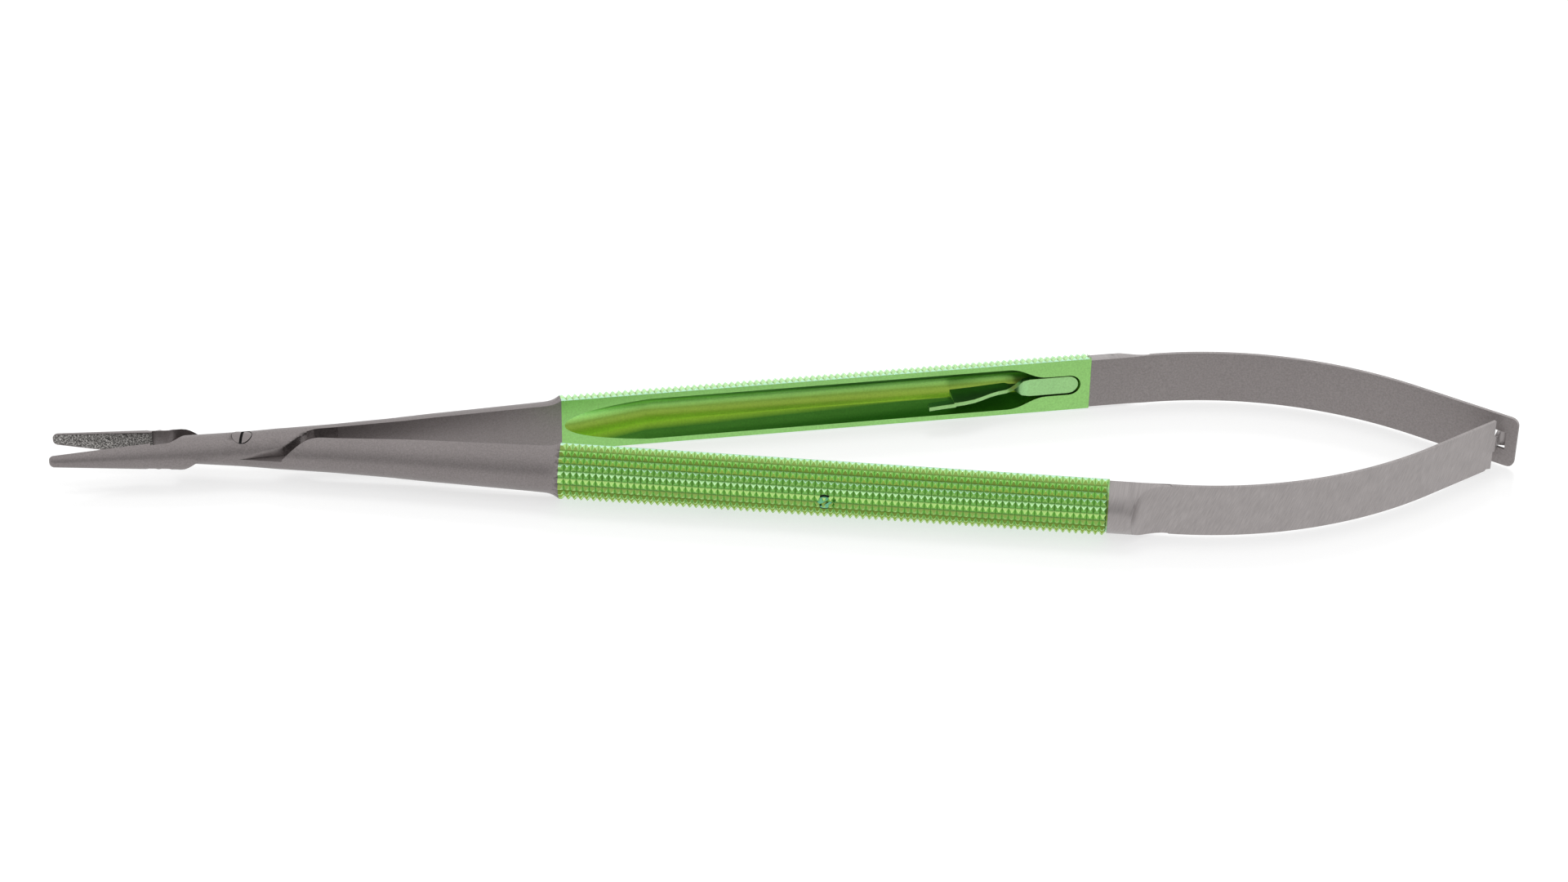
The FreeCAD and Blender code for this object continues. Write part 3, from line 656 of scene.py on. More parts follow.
@dataclass
class HalfBody:
    """One half: jaw, lap, bar and the milled flat of its grip, in grey and green."""

    layout: Layout
    side: Side
    finishes: FinishShelf
    tooth_floor: float = 3.45
    flat_band: float = 0.012
    cut_band: float = 0.02
    face_clearance: float = 0.05
    lap_clearance: float = 0.02
    ear_walls: tuple[tuple[float, float, float], ...] = (
        (-1.0, -2.1, -2.2), (0.0, -1.98, -2.2), (1.0, -1.84, -2.16), (2.0, -1.69, -2.09),
        (3.0, -1.54, -2.03), (4.0, -1.39, -1.97), (5.0, -1.3, -1.9), (6.0, -1.05, -1.57),
        (7.0, -0.63, -0.98), (8.0, -0.22, -0.38), (9.0, 0.01, -0.02), (9.6, 0.04, 0.04))
    ear_radius: float = 2.171
    ear_swell: float = 0.0265
    ear_reach: float = 0.07
    slice_length: float = 0.4
    slice_height: float = 0.2
    slices_up: int = 10
    milled_span: tuple[float, float] = (5.0, 12.0)

    def build(self) -> bpy.types.Object:
        """Make the half from its solid, without the plain teeth and the stub.

        Returns:
            The piece that stands for the half.
        """
        node = f"{self.side.value}_half"
        to_rest = self.layout.grip(self.side)
        work = bmesh.new()
        work.from_mesh(frame["nodes"][node].data)
        bmesh.ops.transform(work, matrix=to_rest.inverted(), verts=work.verts)
        bmesh.ops.remove_doubles(work, verts=work.verts, dist=0.0008)
        for place in (self.layout.grip_start, self.layout.grip_end + self.cut_band):
            geometry = list(work.verts) + list(work.edges) + list(work.faces)
            bmesh.ops.bisect_plane(work, geom=geometry, plane_co=(place, 0, 0),
                                   plane_no=(1, 0, 0), dist=1e-5)
        doomed = [face for face in work.faces if self.is_replaced(face)]
        bmesh.ops.delete(work, geom=doomed, context="FACES")
        self.fill_ear(work)
        for face in work.faces:
            face.material_index = self.finish_of(face)
        mesh = bpy.data.meshes.new(f"{node}_body")
        work.to_mesh(mesh)
        work.free()
        piece = finished_object(f"{node}_body", mesh, 24.0)
        self.crease_flats(mesh)
        mesh.transform(to_rest)
        for finish in (self.finishes.blasted, self.finishes.green_flat,
                       self.finishes.green_pocket, self.finishes.milled):
            mesh.materials.append(finish)
        return piece

    @property
    def grip_to_closed(self) -> Matrix:
        """Matrix from grip axes to the half drawn closed about the pivot, in millimetres."""
        return self.layout.closed_to_rest(self.side).inverted() @ self.layout.grip(self.side)

    def fill_ear(self, work: bmesh.types.BMesh) -> None:
        """Move the curved wall of the ear out to where the finished instrument has it."""
        to_closed = self.grip_to_closed
        bmesh.ops.transform(work, matrix=to_closed, verts=work.verts)
        first, last = self.ear_walls[0][0], self.ear_walls[-1][0]
        cuts = [(Vector((first + self.slice_length * i, 0, 0)), Vector((1, 0, 0)))
                for i in range(int((last - first) / self.slice_length) + 1)]
        cuts += [(Vector((0, 0, self.slice_height * i)), Vector((0, 0, 1)))
                 for i in range(1, self.slices_up + 1)]
        for spot, normal in cuts:
            faces = [face for face in work.faces
                     if first < face.calc_center_median().x < last and abs(face.normal.z) < 0.5]
            around = {item for face in faces for item in (*face.verts, *face.edges)}
            bmesh.ops.bisect_plane(work, geom=faces + list(around), plane_co=spot,
                                   plane_no=normal, dist=1e-5)
        for corner in work.verts:
            at, wall, new_wall = self.ear_at(corner.co.x)
            above = corner.co.z > 0.5 * self.lap_clearance
            if at and above and abs(corner.co.y - wall) < self.ear_reach:
                swell = self.ear_radius + self.ear_swell * corner.co.x
                room = math.sqrt(max(0.0, swell ** 2 - corner.co.z ** 2))
                corner.co.y = min(wall, max(new_wall, -room))
        bmesh.ops.transform(work, matrix=to_closed.inverted(), verts=work.verts)

    def ear_at(self, x: float) -> tuple[bool, float, float]:
        """Whether the ear has its wall at a place, and where it is before and after."""
        for first, second in zip(self.ear_walls, self.ear_walls[1:]):
            if first[0] <= x <= second[0]:
                share = (x - first[0]) / (second[0] - first[0])
                return (True, first[1] + share * (second[1] - first[1]),
                        first[2] + share * (second[2] - first[2]))
        return False, 0.0, 0.0

    def finish_of(self, face: bmesh.types.BMFace) -> BodyFinish:
        """Finish of a face, in grip axes."""
        middle = face.calc_center_median()
        if middle.x < self.layout.grip_start:
            first, last = self.milled_span
            upright = abs(face.normal.z) < 0.1 and first < middle.x < last
            milled = upright and face.normal.y < -0.1 and middle.z > 0.0
            return BodyFinish.MILLED if milled else BodyFinish.BLASTED
        flat = self.is_flat(face) or abs(face.normal.x) > 0.9
        return BodyFinish.FLAT if flat else BodyFinish.POCKET

    def is_flat(self, face: bmesh.types.BMFace) -> bool:
        """True for a face in the plane of the grip's flat, in grip axes."""
        return all(abs(corner.co.y) < self.flat_band for corner in face.verts)

    def is_replaced(self, face: bmesh.types.BMFace) -> bool:
        """True for a face of the plain teeth or of the stub, in grip axes."""
        middle = face.calc_center_median()
        if middle.x > self.layout.grip_end + 0.5 * self.cut_band:
            return True
        if middle.x < self.layout.grip_start or abs(face.normal.x) > 0.9:
            return False
        radius = math.hypot(middle.y, middle.z)
        return radius > self.tooth_floor and middle.y > self.flat_band

    def crease_flats(self, mesh: bpy.types.Mesh) -> None:
        """Keep the borders of the milled flats crisp, on a mesh in grip axes."""
        to_closed = self.grip_to_closed
        work = bmesh.new()
        work.from_mesh(mesh)
        flats = set()
        for face in work.faces:
            spots = [to_closed @ corner.co for corner in face.verts]
            on_bar = all(abs(spot.y - self.face_clearance) < self.flat_band for spot in spots)
            on_lap = all(abs(spot.z - self.lap_clearance) < self.flat_band for spot in spots)
            if self.is_flat(face) or on_bar or on_lap:
                flats.add(face.index)
        for edge in work.edges:
            if len({face.index in flats for face in edge.link_faces}) == 2:
                edge.smooth = False
        work.to_mesh(mesh)
        work.free()


@dataclass
class ToothedGrip:
    """Square pyramids round one grip, with a ridge ahead of the first row."""

    layout: Layout
    side: Side
    finishes: FinishShelf
    rows: int = 12
    pitch: float = 0.8
    count: int = 84
    lead: float = 0.74
    crest: float = 0.07

    def radius_at(self, row: int) -> float:
        """Radius of the groove along one side of a row."""
        outer = row in (0, self.rows)
        return self.layout.rim_radius if outer else self.layout.tip_radius - self.layout.tooth_depth

    def spot(self, draft: Draft, x: float, row: float, radius: float, crest: float = 0.0) -> int:
        """Add a point to the shell.

        Args:
            draft: The shell's draft.
            x: Distance along the grip.
            row: Place round the grip, in rows.
            radius: Distance from the grip's axis.
            crest: 0 in a groove and 1 on a tooth's tip, where the finish paints shade in the
                grooves and a highlight on the tips.

        Returns:
            The point's number.
        """
        angle = math.pi * row / self.rows
        return draft.add((x, radius * math.sin(angle), -radius * math.cos(angle)), (x, crest))

    def build(self) -> bpy.types.Object:
        """Make the teeth of one grip.

        Returns:
            The toothed shell.
        """
        draft = Draft()
        first = self.layout.grip_start + self.lead
        stations = [first + self.pitch * index for index in range(self.count + 1)]
        grid = [[self.spot(draft, x, row, self.radius_at(row)) for row in range(self.rows + 1)]
                for x in stations]
        tip = self.layout.tip_radius
        half = 0.5 * self.crest
        turn = half / tip / math.pi * self.rows
        for column in range(self.count):
            x = stations[column] + 0.5 * self.pitch
            for row in range(self.rows):
                ring = (grid[column][row], grid[column + 1][row], grid[column + 1][row + 1],
                        grid[column][row + 1])
                top = tuple(self.spot(draft, x + a * half, row + 0.5 + b * turn, tip, 1.0)
                            for a, b in ((-1, -1), (1, -1), (1, 1), (-1, 1)))
                for index in range(4):
                    following = (index + 1) % 4
                    draft.faces.append((ring[index], ring[following], top[following], top[index]))
                draft.faces.append(top)
        self.add_lead(draft, grid[0], turn)
        self.add_end(draft, grid[-1])
        piece = draft.make(f"{self.side.value}_grip_teeth", self.layout.grip(self.side), 12.0)
        piece.data.materials.append(self.finishes.green_teeth)
        return piece

    def add_lead(self, draft: Draft, first_ring: list[int], turn: float) -> None:
        """Add the short ridges between the start of the grip and the first groove."""
        start = self.layout.grip_start
        tip = self.layout.tip_radius
        crest_x = start + self.lead - 0.5 * self.pitch
        for row in range(self.rows):
            low = self.spot(draft, start, row, self.radius_at(row))
            high = self.spot(draft, start, row + 1, self.radius_at(row + 1))
            marks = [self.spot(draft, x, row + 0.5 + side * turn, tip, 1.0)
                     for x in (start, crest_x) for side in (-1, 1)]
            draft.faces.append((low, first_ring[row], marks[2], marks[0]))
            draft.faces.append((marks[0], marks[2], marks[3], marks[1]))
            draft.faces.append((marks[1], marks[3], first_ring[row + 1], high))
            draft.faces.append((marks[2], first_ring[row], first_ring[row + 1], marks[3]))

    def add_end(self, draft: Draft, last_ring: list[int]) -> None:
        """Close the short smooth band behind the last row."""
        end = self.layout.grip_end
        rear = [self.spot(draft, end, row, self.radius_at(row)) for row in range(self.rows + 1)]
        for row in range(self.rows):
            draft.faces.append((last_ring[row], rear[row], rear[row + 1], last_ring[row + 1]))


@dataclass
class SpringLeaf:
    """One stub and the leaf that it thins into, with the tail that meets the other leaf."""

    layout: Layout
    side: Side
    finishes: FinishShelf
    thickness: float = 0.38
    height: float = 7.4
    bend_radius: float = 51.3
    tail_angle: float = 32.0
    far_tail: float = 1.75
    corner: float = 1.0
    window_ahead: float = 1.35
    window_behind: float = 0.3
    window_height: float = 2.6
    ramp_length: float = 4.5
    near_shoulder: float = 1.85
    top_chamfer: float = 0.8
    low_chamfer: float = 1.0
    neck_moves: tuple[tuple[float, float], ...] = (
        (0.3, 0.0), (0.2443, -35.0), (1.25, 0.0), (0.5236, 75.0), (0.75, 0.0))
    neck_spans: tuple[tuple[float, float, float], ...] = (
        (0.0, -1.1, 1.3), (0.5, -1.12, 1.05), (1.4, -1.2, 0.95), (3.1, -1.28, 0.85))
    edge_rows: int = 8
    middle_rows: int = 6
    leaf_columns: int = 56
    neck_columns: int = 28
    root_gap: float = 0.1
    flex_length: float = 30.0

    @property
    def rest_angle(self) -> float:
        """Angle of the leaf's root against the middle plane."""
        return self.layout.open_angle + self.layout.splay

    @property
    def root_at(self) -> float:
        """Distance of the leaf's root from the rear of the grip."""
        return self.layout.stub_length + self.root_gap

    @property
    def length(self) -> float:
        """Whole length of stub and leaf."""
        return sum(length for length, _ in self.moves())

    def moves(self) -> list[tuple[float, float]]:
        """Length and turn of each stretch, from the rear of the grip to the tail."""
        turn = self.rest_angle + self.tail_angle
        arc = self.bend_radius * math.radians(turn)
        root = self.layout.joint("far_spring_root") / MM - self.layout.joint("jaw_pivot") / MM
        drop = math.cos(math.radians(self.rest_angle)) - math.cos(math.radians(self.tail_angle))
        straight = (root.y - self.bend_radius * drop) / math.sin(math.radians(self.tail_angle))
        extra = self.far_tail if self.side is Side.FAR else -self.near_shoulder
        listed = [(self.root_at, 0.0), (arc, -turn), (straight + extra, 0.0)]
        if self.side is Side.NEAR:
            listed.extend(self.neck_moves)
        return listed

    def place(self, distance: float) -> tuple[Vector, Vector]:
        """Point on the leaf's middle line and the way out of the leaf there.

        Args:
            distance: Length along the leaf from the rear of the grip.

        Returns:
            The point and the outward normal, in the far half's layout about the pivot.
        """
        heading = math.radians(self.rest_angle)
        root = (self.layout.joint("far_spring_root") - self.layout.joint("jaw_pivot")) / MM
        ahead = Vector((math.cos(heading), math.sin(heading)))
        point = Vector((root.x, root.y)) - ahead * self.root_at
        left = distance
        moves = self.moves()
        for index, (length, turn) in enumerate(moves):
            step = left if index == len(moves) - 1 else min(left, length)
            sweep = math.radians(turn) * step / length
            if turn:
                radius = length / math.radians(turn)
                side = Vector((-math.sin(heading), math.cos(heading)))
                ahead = Vector((-math.sin(heading + sweep), math.cos(heading + sweep)))
                point = point + side * radius - ahead * radius
            else:
                point = point + Vector((math.cos(heading), math.sin(heading))) * step
            heading += sweep
            left -= step
            if left <= 1e-9:
                break
        out = Vector((-math.sin(heading), math.cos(heading)))
        return point, out

    def ramp_thickness(self, distance: float) -> float:
        """Thickness of stub or leaf at a distance from the rear of the grip."""
        crest = self.layout.stub_radius
        ahead = self.layout.stub_length - distance
        if ahead >= self.ramp_length:
            return crest
        if ahead <= 0.0:
            return self.thickness
        drop = crest - self.thickness
        radius = (self.ramp_length ** 2 + drop ** 2) / (2.0 * drop)
        return self.thickness + radius - math.sqrt(radius ** 2 - ahead ** 2)

    def stations(self) -> list[float]:
        """Distances of the columns along the leaf, closer together where its form turns."""
        total = self.length
        stub = self.layout.stub_length
        marks = [0.0, 1.0, 2.0] + [stub - self.ramp_length * (1 - i / 14.0) for i in range(15)]
        leaf_end = total if self.side is Side.FAR else self.shoulder_at()
        marks += [stub + 0.3 + (leaf_end - 2.4 - stub - 0.3) * i / self.leaf_columns
                  for i in range(self.leaf_columns + 1)]
        if self.side is Side.FAR:
            crossing = total - self.far_tail
            marks += [crossing - self.window_ahead, crossing + self.window_behind]
            marks += [total - self.corner * (1 - math.sin(math.radians(a)))
                      for a in (0, 18, 36, 54, 72, 90)]
        else:
            marks += [leaf_end - self.low_chamfer, leaf_end - self.top_chamfer, leaf_end]
            marks += [leaf_end + (total - leaf_end) * i / self.neck_columns
                      for i in range(1, self.neck_columns + 1)]
        return sorted(set(round(mark, 5) for mark in marks))

    def neck_span(self, distance: float) -> tuple[float, float]:
        """Lowest and highest point of the neck at a distance, narrowing towards its hook."""
        past = max(0.0, distance - self.shoulder_at())
        for first, second in zip(self.neck_spans, self.neck_spans[1:]):
            if past <= second[0]:
                share = (past - first[0]) / (second[0] - first[0])
                return (first[1] + share * (second[1] - first[1]),
                        first[2] + share * (second[2] - first[2]))
        return self.neck_spans[-1][1:]

    def shoulder_at(self) -> float:
        """Distance of the near leaf's shoulder from the rear of the grip."""
        return sum(length for length, _ in self.moves()[:3])

    def edge_height(self, distance: float) -> tuple[float, float]:
        """Lowest and highest point of the leaf at a distance."""
        half = 0.5 * self.height
        stub = self.layout.stub_length
        if distance < stub:
            share = max(0.0, 1.0 - (stub - distance) / self.ramp_length)
            half = self.layout.stub_radius + (half - self.layout.stub_radius) * share ** 2
            return -half, half
        if self.side is Side.FAR:
            past = distance - (self.length - self.corner)
            if past > 0.0:
                half -= self.corner - math.sqrt(max(0.0, self.corner ** 2 - past ** 2))
            return -half, half
        shoulder = self.shoulder_at()
        low = -half + max(0.0, distance - shoulder + self.low_chamfer)
        high = half - max(0.0, distance - shoulder + self.top_chamfer)
        return (low, high) if distance <= shoulder else (-half, half)

    def levels(self, distance: float) -> list[float]:
        """Heights of the rows at a distance: an edge band, a middle band and an edge band."""
        low, high = self.edge_height(distance)
        thick = self.ramp_thickness(distance)
        stub = self.layout.stub_length
        if distance <= stub:
            radius = self.layout.stub_radius
            inner = max(0.35, math.sqrt(max(0.0, radius ** 2 - thick ** 2)))
            inner = min(inner, high - 0.05)
            base, top = -inner, inner
        else:
            tail = (-0.5 * self.window_height, 0.5 * self.window_height)
            if self.side is Side.NEAR:
                tail = self.neck_span(distance)
            share = min(1.0, (distance - stub) / 20.0)
            base = (1 - share) * (low + 0.06) + share * tail[0]
            top = (1 - share) * (high - 0.06) + share * tail[1]
        lower = [low + (base - low) * math.sin(0.5 * math.pi * i / self.edge_rows)
                 for i in range(self.edge_rows)]
        middle = [base + (top - base) * i / self.middle_rows for i in range(self.middle_rows)]
        upper = [high + (top - high) * math.cos(0.5 * math.pi * i / self.edge_rows)
                 for i in range(self.edge_rows + 1)]
        return lower + middle + upper

    def is_solid(self, before: float, after: float, row: int) -> bool:
        """True where the leaf has metal between two columns and above one row."""
        middle = self.edge_rows <= row < self.edge_rows + self.middle_rows
        if self.side is Side.FAR:
            crossing = self.length - self.far_tail
            inside = before > crossing - self.window_ahead - 1e-3
            inside = inside and after < crossing + self.window_behind + 1e-3
            return not (inside and middle)
        return middle or after < self.shoulder_at() + 1e-3

    def build(self) -> bpy.types.Object:
        """Make the stub and leaf as one bent sheet with its window or tongue.

        Returns:
            The piece.
        """
        draft = Draft()
        sign = 1.0 if self.side is Side.FAR else -1.0
        columns = self.stations()
        outer: list[list[int]] = []
        inner: list[list[int]] = []
        for distance in columns:
            point, out = self.place(distance)
            thick = self.ramp_thickness(distance)
            front, back = [], []
            for level in self.levels(distance):
                reach = thick
                if distance <= self.layout.stub_length:
                    room = self.layout.stub_radius ** 2 - level ** 2
                    reach = min(thick, math.sqrt(max(0.0, room)))
                    reach = max(reach, 0.04)
                base = point - out * 0.5 * self.thickness
                top = base + out * reach
                flat = (distance, level)
                front.append(draft.add((top.x, sign * top.y, level), flat))
                back.append(draft.add((base.x, sign * base.y, level), flat))
            outer.append(front)
            inner.append(back)
        self.add_faces(draft, columns, outer, inner)
        matrix = Matrix.Translation(self.layout.joint("jaw_pivot")) @ Matrix.Scale(MM, 4)
        piece = draft.make(f"{self.side.value}_spring_leaf", matrix, 30.0)
        self.dress(piece)
        return piece

    def add_faces(self, draft: Draft, columns: list[float], outer: list[list[int]],
                  inner: list[list[int]]) -> None:
        """Fill the sheet's two sides and the walls round every edge of it."""
        solid = {(c, r) for c in range(len(columns) - 1) for r in range(len(outer[0]) - 1)
                 if self.is_solid(columns[c], columns[c + 1], r)}
        for c, r in sorted(solid):
            draft.faces.append((outer[c][r], outer[c + 1][r], outer[c + 1][r + 1], outer[c][r + 1]))
            draft.faces.append((inner[c][r], inner[c][r + 1], inner[c + 1][r + 1], inner[c + 1][r]))
            for beyond, first, last in (((c, r - 1), (c, r), (c + 1, r)),
                                        ((c, r + 1), (c + 1, r + 1), (c, r + 1)),
                                        ((c - 1, r), (c, r + 1), (c, r)),
                                        ((c + 1, r), (c + 1, r), (c + 1, r + 1))):
                if beyond not in solid:
                    draft.faces.append((outer[first[0]][first[1]], inner[first[0]][first[1]],
                                        inner[last[0]][last[1]], outer[last[0]][last[1]]))

    def dress(self, piece: bpy.types.Object) -> None:
        """Give the sheet its finish: brushed outside, matt inside on the far leaf."""
        piece.data.materials.append(self.finishes.brushed)
        piece.data.materials.append(self.finishes.matt_leaf)
        inside = Vector((0.0, -1.0, 0.0)) if self.side is Side.FAR else Vector((0.0, 1.0, 0.0))
        for polygon in piece.data.polygons:
            polygon.material_index = 1 if polygon.normal.dot(inside) > 0.5 else 0
        soften(piece, 0.05)

    def attach(self, piece: bpy.types.Object) -> None:
        """Bake the leaf's placement into its mesh; its root, its rear and the pivot are worked out
        here but not used.
        """
        root, _ = self.place(self.root_at)
        rear, _ = self.place(self.root_at + self.flex_length)
        pivot = self.layout.joint("jaw_pivot")
        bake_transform(piece)


@dataclass
class CatchHook:
    """Strip that is let into the far grip, twists on edge and ends in a barb."""

    layout: Layout
    finishes: FinishShelf
    thickness: float = 0.55
    tongue_width: float = 2.6
    tongue_front: float = 100.35
    tongue_end: float = 106.65
    plate_lift: float = 0.375
    round_steps: int = 8
    twist: tuple[tuple[float, float, float, float, float], ...] = (
        (99.4, 9.0, 0.37, 0.05, 2.5), (98.9, 28.0, 0.35, 0.13, 2.25),
        (98.45, 45.0, 0.3, 0.2, 2.0), (97.8, 68.0, 0.27, 0.2, 1.85),
        (97.15, 86.0, 0.25, 0.2, 1.75), (96.0, 86.0, 0.14, 0.16, 1.9),
        (94.95, 86.0, 0.0, 0.1, 2.2), (93.8, 85.5, -0.24, 0.04, 2.7),
        (92.75, 85.0, -0.45, 0.0, 3.1), (91.4, 84.5, -0.57, -0.05, 3.4),
        (90.05, 84.0, -0.62, -0.1, 3.5))
    barb: tuple[tuple[float, float, float, float, float], ...] = (
        (90.3, 84.0, -1.79, -0.1, 1.15), (88.6, 84.0, -1.79, -0.22, 1.13),
        (86.85, 84.0, -1.79, -0.4, 1.1))

    def profile(self) -> list[tuple[float, float, float, float, float]]:
        """Distance along the grip, turn, y and z of the middle, and width of each section."""
        half = 0.5 * self.tongue_width
        bend = self.tongue_end - half
        rows = []
        for step in range(self.round_steps + 1):
            angle = 0.5 * math.pi * (1 - step / self.round_steps)
            width = max(0.06, self.tongue_width * math.cos(angle))
            rows.append((bend + half * math.sin(angle), 0.0, self.plate_lift, 0.0, width))
        rows.append((self.tongue_front, 0.0, self.plate_lift, 0.0, self.tongue_width))
        return rows + list(self.twist)

    def build(self) -> bpy.types.Object:
        """Make the strip.

        Returns:
            The piece that stands for the catch strip.
        """
        draft = Draft()
        for rows in (self.profile(), self.barb):
            self.loft(draft, [self.section(draft, *row) for row in rows])
        piece = draft.make("catch_hook", self.layout.grip(Side.FAR), 30.0)
        piece.data.materials.append(self.finishes.green_strip)
        soften(piece, 0.07)
        return piece

    def section(self, draft: Draft, x: float, turn: float, y: float, z: float,
                width: float) -> list[int]:
        """Add the rectangle across the strip at one place and return its corners."""
        angle = math.radians(turn)
        across = Vector((0.0, -math.sin(angle), math.cos(angle)))
        through = Vector((0.0, math.cos(angle), math.sin(angle)))
        middle = Vector((x, y, z))
        corners = []
        for a, b in ((-1, -1), (1, -1), (1, 1), (-1, 1)):
            spot = middle + across * (0.5 * a * width) + through * (0.5 * b * self.thickness)
            corners.append(draft.add(spot, (x, a * 0.5 * width)))
        return corners

    def loft(self, draft: Draft, rings: list[list[int]]) -> None:
        """Join rectangles into a closed bar."""
        for first, second in zip(rings, rings[1:]):
            for index in range(4):
                following = (index + 1) % 4
                draft.faces.append((first[index], second[index], second[following],
                                    first[following]))
        draft.faces.append(tuple(rings[0]))
        draft.faces.append(tuple(reversed(rings[-1])))


@dataclass
class CarriedSolids:
    """Solids whose own shape shows, with a better finish."""

    finishes: FinishShelf

    def dress(self) -> list[str]:
        """Give each solid its finish and return their names."""
        finishes = {"pivot_screw": self.finishes.pivot_screw, "near_jaw_pad": self.finishes.grit,
                    "far_jaw_pad": self.finishes.grit, "keeper_strip": self.finishes.green_strip,
                    "catch_screw": self.finishes.catch_screw}
        for name, material in finishes.items():
            node = frame["nodes"][name]
            node.data.materials.clear()
            node.data.materials.append(material)
        return list(finishes)


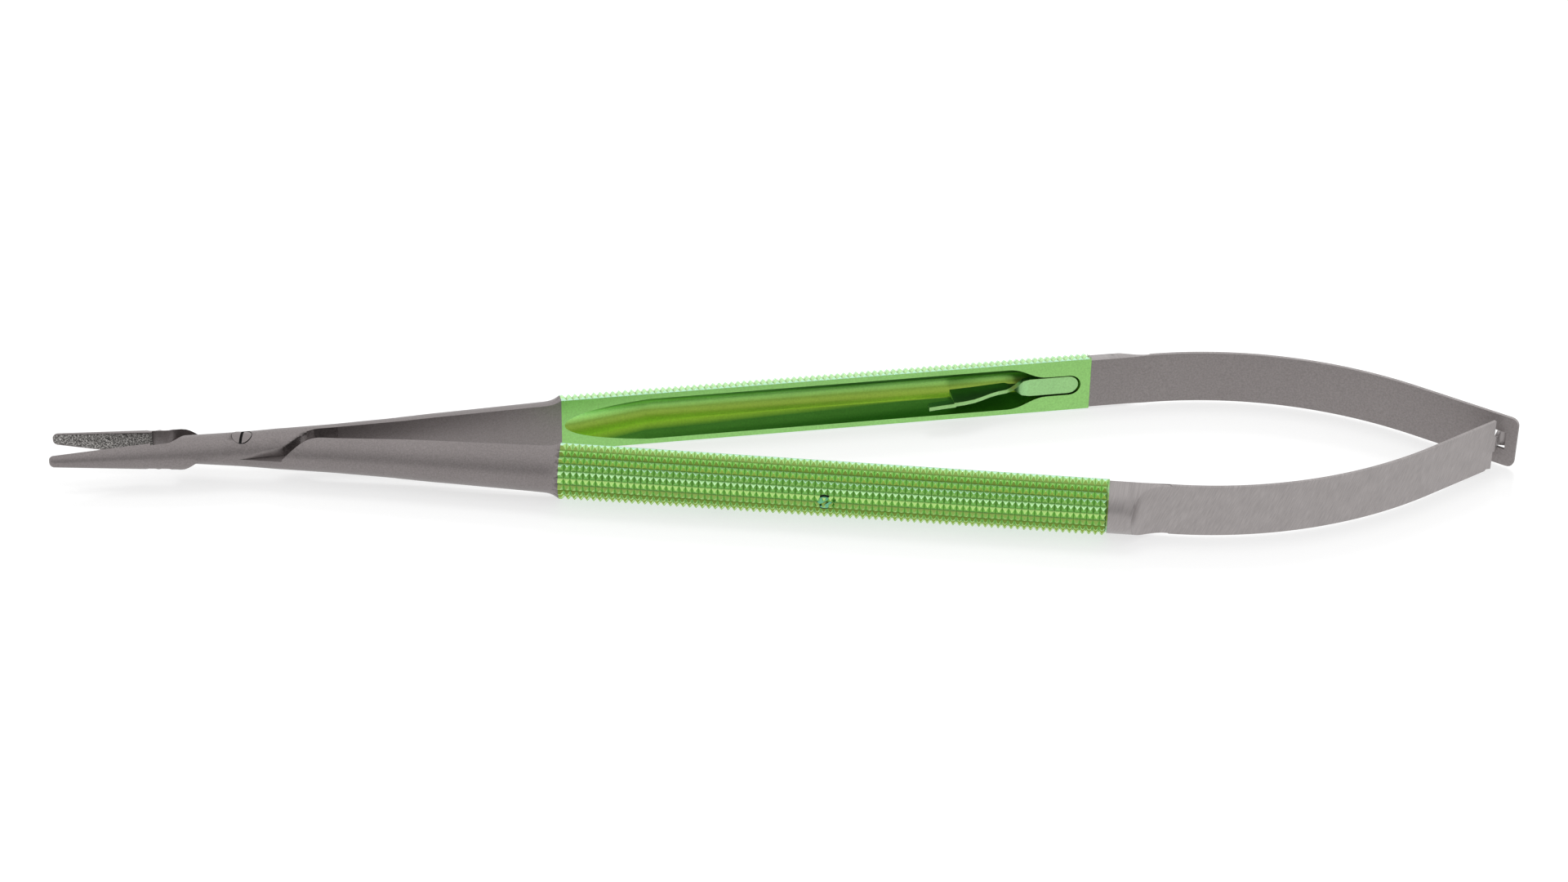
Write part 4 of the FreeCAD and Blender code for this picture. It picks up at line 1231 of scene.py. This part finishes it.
@dataclass
class Studio:
    """White floor, soft lamps, bright surroundings and the camera."""

    layout: Layout
    lens: float = 102.43
    distance: float = 560.0
    aim: Point = (67.759, 0.0, 0.621)
    yaw: float = -2.495
    pitch: float = 36.358
    roll: float = 1.061
    albedo: float = 0.38
    lift: float = 0.64
    mirrored: float = 1.0
    floor_reach: float = 3.0
    floor_drop: float = 0.0002
    room: tuple[tuple[float, float], ...] = (
        (0.0, 0.5), (0.1, 0.55), (0.25, 0.76), (0.38, 0.93), (0.5, 1.0), (0.8, 0.95), (1.0, 1.0))
    lamp_size: float = 0.3
    lamp_places: tuple[tuple[str, Point, float], ...] = (
        ("key_lamp", (0.15, 0.8, 0.8), 4.5), ("top_lamp", (0.05, 0.3, 1.1), 2.0))

    def build(self) -> None:
        """Set the whole studio."""
        self.floor()
        self.surroundings()
        self.lamps()
        self.camera()
        bpy.context.scene.view_settings.view_transform = "Standard"

    def floor(self) -> None:
        """Lay a wide white floor that keeps the instrument's shadow."""
        mesh = bpy.data.meshes.new("studio_floor")
        corners = [(x * self.floor_reach, y * self.floor_reach, 0)
                   for x, y in ((-1, -1), (1, -1), (1, 1), (-1, 1))]
        mesh.from_pydata(corners, [], [(0, 1, 2, 3)])
        floor = bpy.data.objects.new("studio_floor", mesh)
        floor.location.z = -self.floor_drop
        bpy.context.scene.collection.objects.link(floor)
        material, nodes, shader = blank_material("white_floor")
        shader.inputs["Base Color"].default_value = (self.albedo,) * 3 + (1.0,)
        shader.inputs["Roughness"].default_value = 0.9
        shader.inputs["Specular IOR Level"].default_value = 0.1
        rays = nodes.new("ShaderNodeLightPath")
        seen = nodes.maths("MAXIMUM", rays.outputs["Is Camera Ray"],
                           rays.outputs["Is Transmission Ray"])
        shader.inputs["Emission Color"].default_value = (1.0, 1.0, 1.0, 1.0)
        nodes.join(nodes.maths("MULTIPLY", seen, self.lift), shader.inputs["Emission Strength"])
        white = nodes.new("ShaderNodeEmission")
        white.inputs["Strength"].default_value = self.mirrored
        mixed = nodes.new("ShaderNodeMixShader")
        nodes.join(rays.outputs["Is Glossy Ray"], mixed.inputs[0])
        nodes.join(shader.outputs[0], mixed.inputs[1])
        nodes.join(white.outputs[0], mixed.inputs[2])
        nodes.join(mixed.outputs[0], material.node_tree.nodes["Material Output"].inputs["Surface"])
        mesh.materials.append(material)

    def surroundings(self) -> None:
        """Fill the room with soft light that metal sees as a pale studio."""
        world = bpy.data.worlds.new("pale_room")
        bpy.context.scene.world = world
        world.use_nodes = True
        nodes = Nodes(world.node_tree)
        background = world.node_tree.nodes["Background"]
        rays = nodes.new("ShaderNodeLightPath")
        way = nodes.new("ShaderNodeTexCoord").outputs["Generated"]
        parts = nodes.new("ShaderNodeSeparateXYZ")
        nodes.join(way, parts.inputs[0])
        front = nodes.maths("MULTIPLY", parts.outputs["Y"], -1.0)
        sweep = nodes.maths("ARCTAN2", parts.outputs["Z"], front)
        sweep = nodes.maths("DIVIDE", sweep, math.pi)
        room = nodes.greys(sweep, *self.room)
        clear = nodes.maths("MAXIMUM", rays.outputs["Is Camera Ray"],
                            rays.outputs["Is Transmission Ray"])
        nodes.join(nodes.mix(clear, room, (1.0, 1.0, 1.0)), background.inputs["Color"])

    def lamp(self, name: str, place: Point, power: float) -> None:
        """Hang one soft square lamp, aimed at the middle of the instrument."""
        light = bpy.data.lights.new(name, "AREA")
        light.shape = "SQUARE"
        light.size = self.lamp_size
        light.energy = power
        lamp = bpy.data.objects.new(name, light)
        lamp.location = place
        lamp.rotation_euler = (-Vector(place)).to_track_quat("-Z", "Y").to_euler()
        lamp.visible_glossy = False
        bpy.context.scene.collection.objects.link(lamp)

    def lamps(self) -> None:
        """Hang the key lamp at the back, a little to the right, and a weaker one above."""
        for name, place, power in self.lamp_places:
            self.lamp(name, place, power)

    def camera(self) -> None:
        """Set the camera as it stood for the photograph."""
        data = bpy.data.cameras.new("camera")
        data.lens = self.lens
        data.sensor_width = 36.0
        data.clip_start = 0.01
        data.clip_end = 20.0
        camera = bpy.data.objects.new("camera", data)
        turn = (Matrix.Rotation(math.radians(self.yaw), 4, "Z")
                @ Matrix.Rotation(math.radians(90.0 - self.pitch), 4, "X")
                @ Matrix.Rotation(math.radians(self.roll), 4, "Z"))
        aim = Matrix.Translation(self.layout.joint("jaw_pivot") + Vector(self.aim) * MM)
        camera.matrix_world = aim @ turn @ Matrix.Translation((0.0, 0.0, self.distance * MM))
        bpy.context.scene.collection.objects.link(camera)
        bpy.context.scene.camera = camera


@dataclass
class NeedleHolder:
    """The whole instrument."""

    layout: Layout
    finishes: FinishShelf

    def build(self) -> None:
        """Make every piece, and tie each half's body and teeth and the hook to what carries them.
        """
        for side in Side:
            body = HalfBody(self.layout, side, self.finishes).build()
            teeth = ToothedGrip(self.layout, side, self.finishes).build()
            for piece in (body, teeth):
                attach(piece, side.value)
            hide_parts(f"{side.value}_half")
            report(body, teeth)
            spring = SpringLeaf(self.layout, side, self.finishes)
            leaf = spring.build()
            spring.attach(leaf)
            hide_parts(f"{side.value}_leaf")
            report(leaf)
        hook = CatchHook(self.layout, self.finishes).build()
        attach(hook, "far")
        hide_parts("hook_strip")
        report(hook)
        LOG.info("dressed solids: %s", ", ".join(CarriedSolids(self.finishes).dress()))


def report(*pieces: bpy.types.Object) -> None:
    """Log the name and face count of each piece."""
    for piece in pieces:
        LOG.info("%s: %d faces", piece.name, len(piece.data.polygons))


def main() -> None:
    """Build the instrument and its studio."""
    logging.basicConfig(level=logging.INFO, format="%(message)s")
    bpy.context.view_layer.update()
    layout = Layout()
    NeedleHolder(layout, FinishShelf(layout)).build()
    Studio(layout).build()


if __name__ == "__main__":
    main()
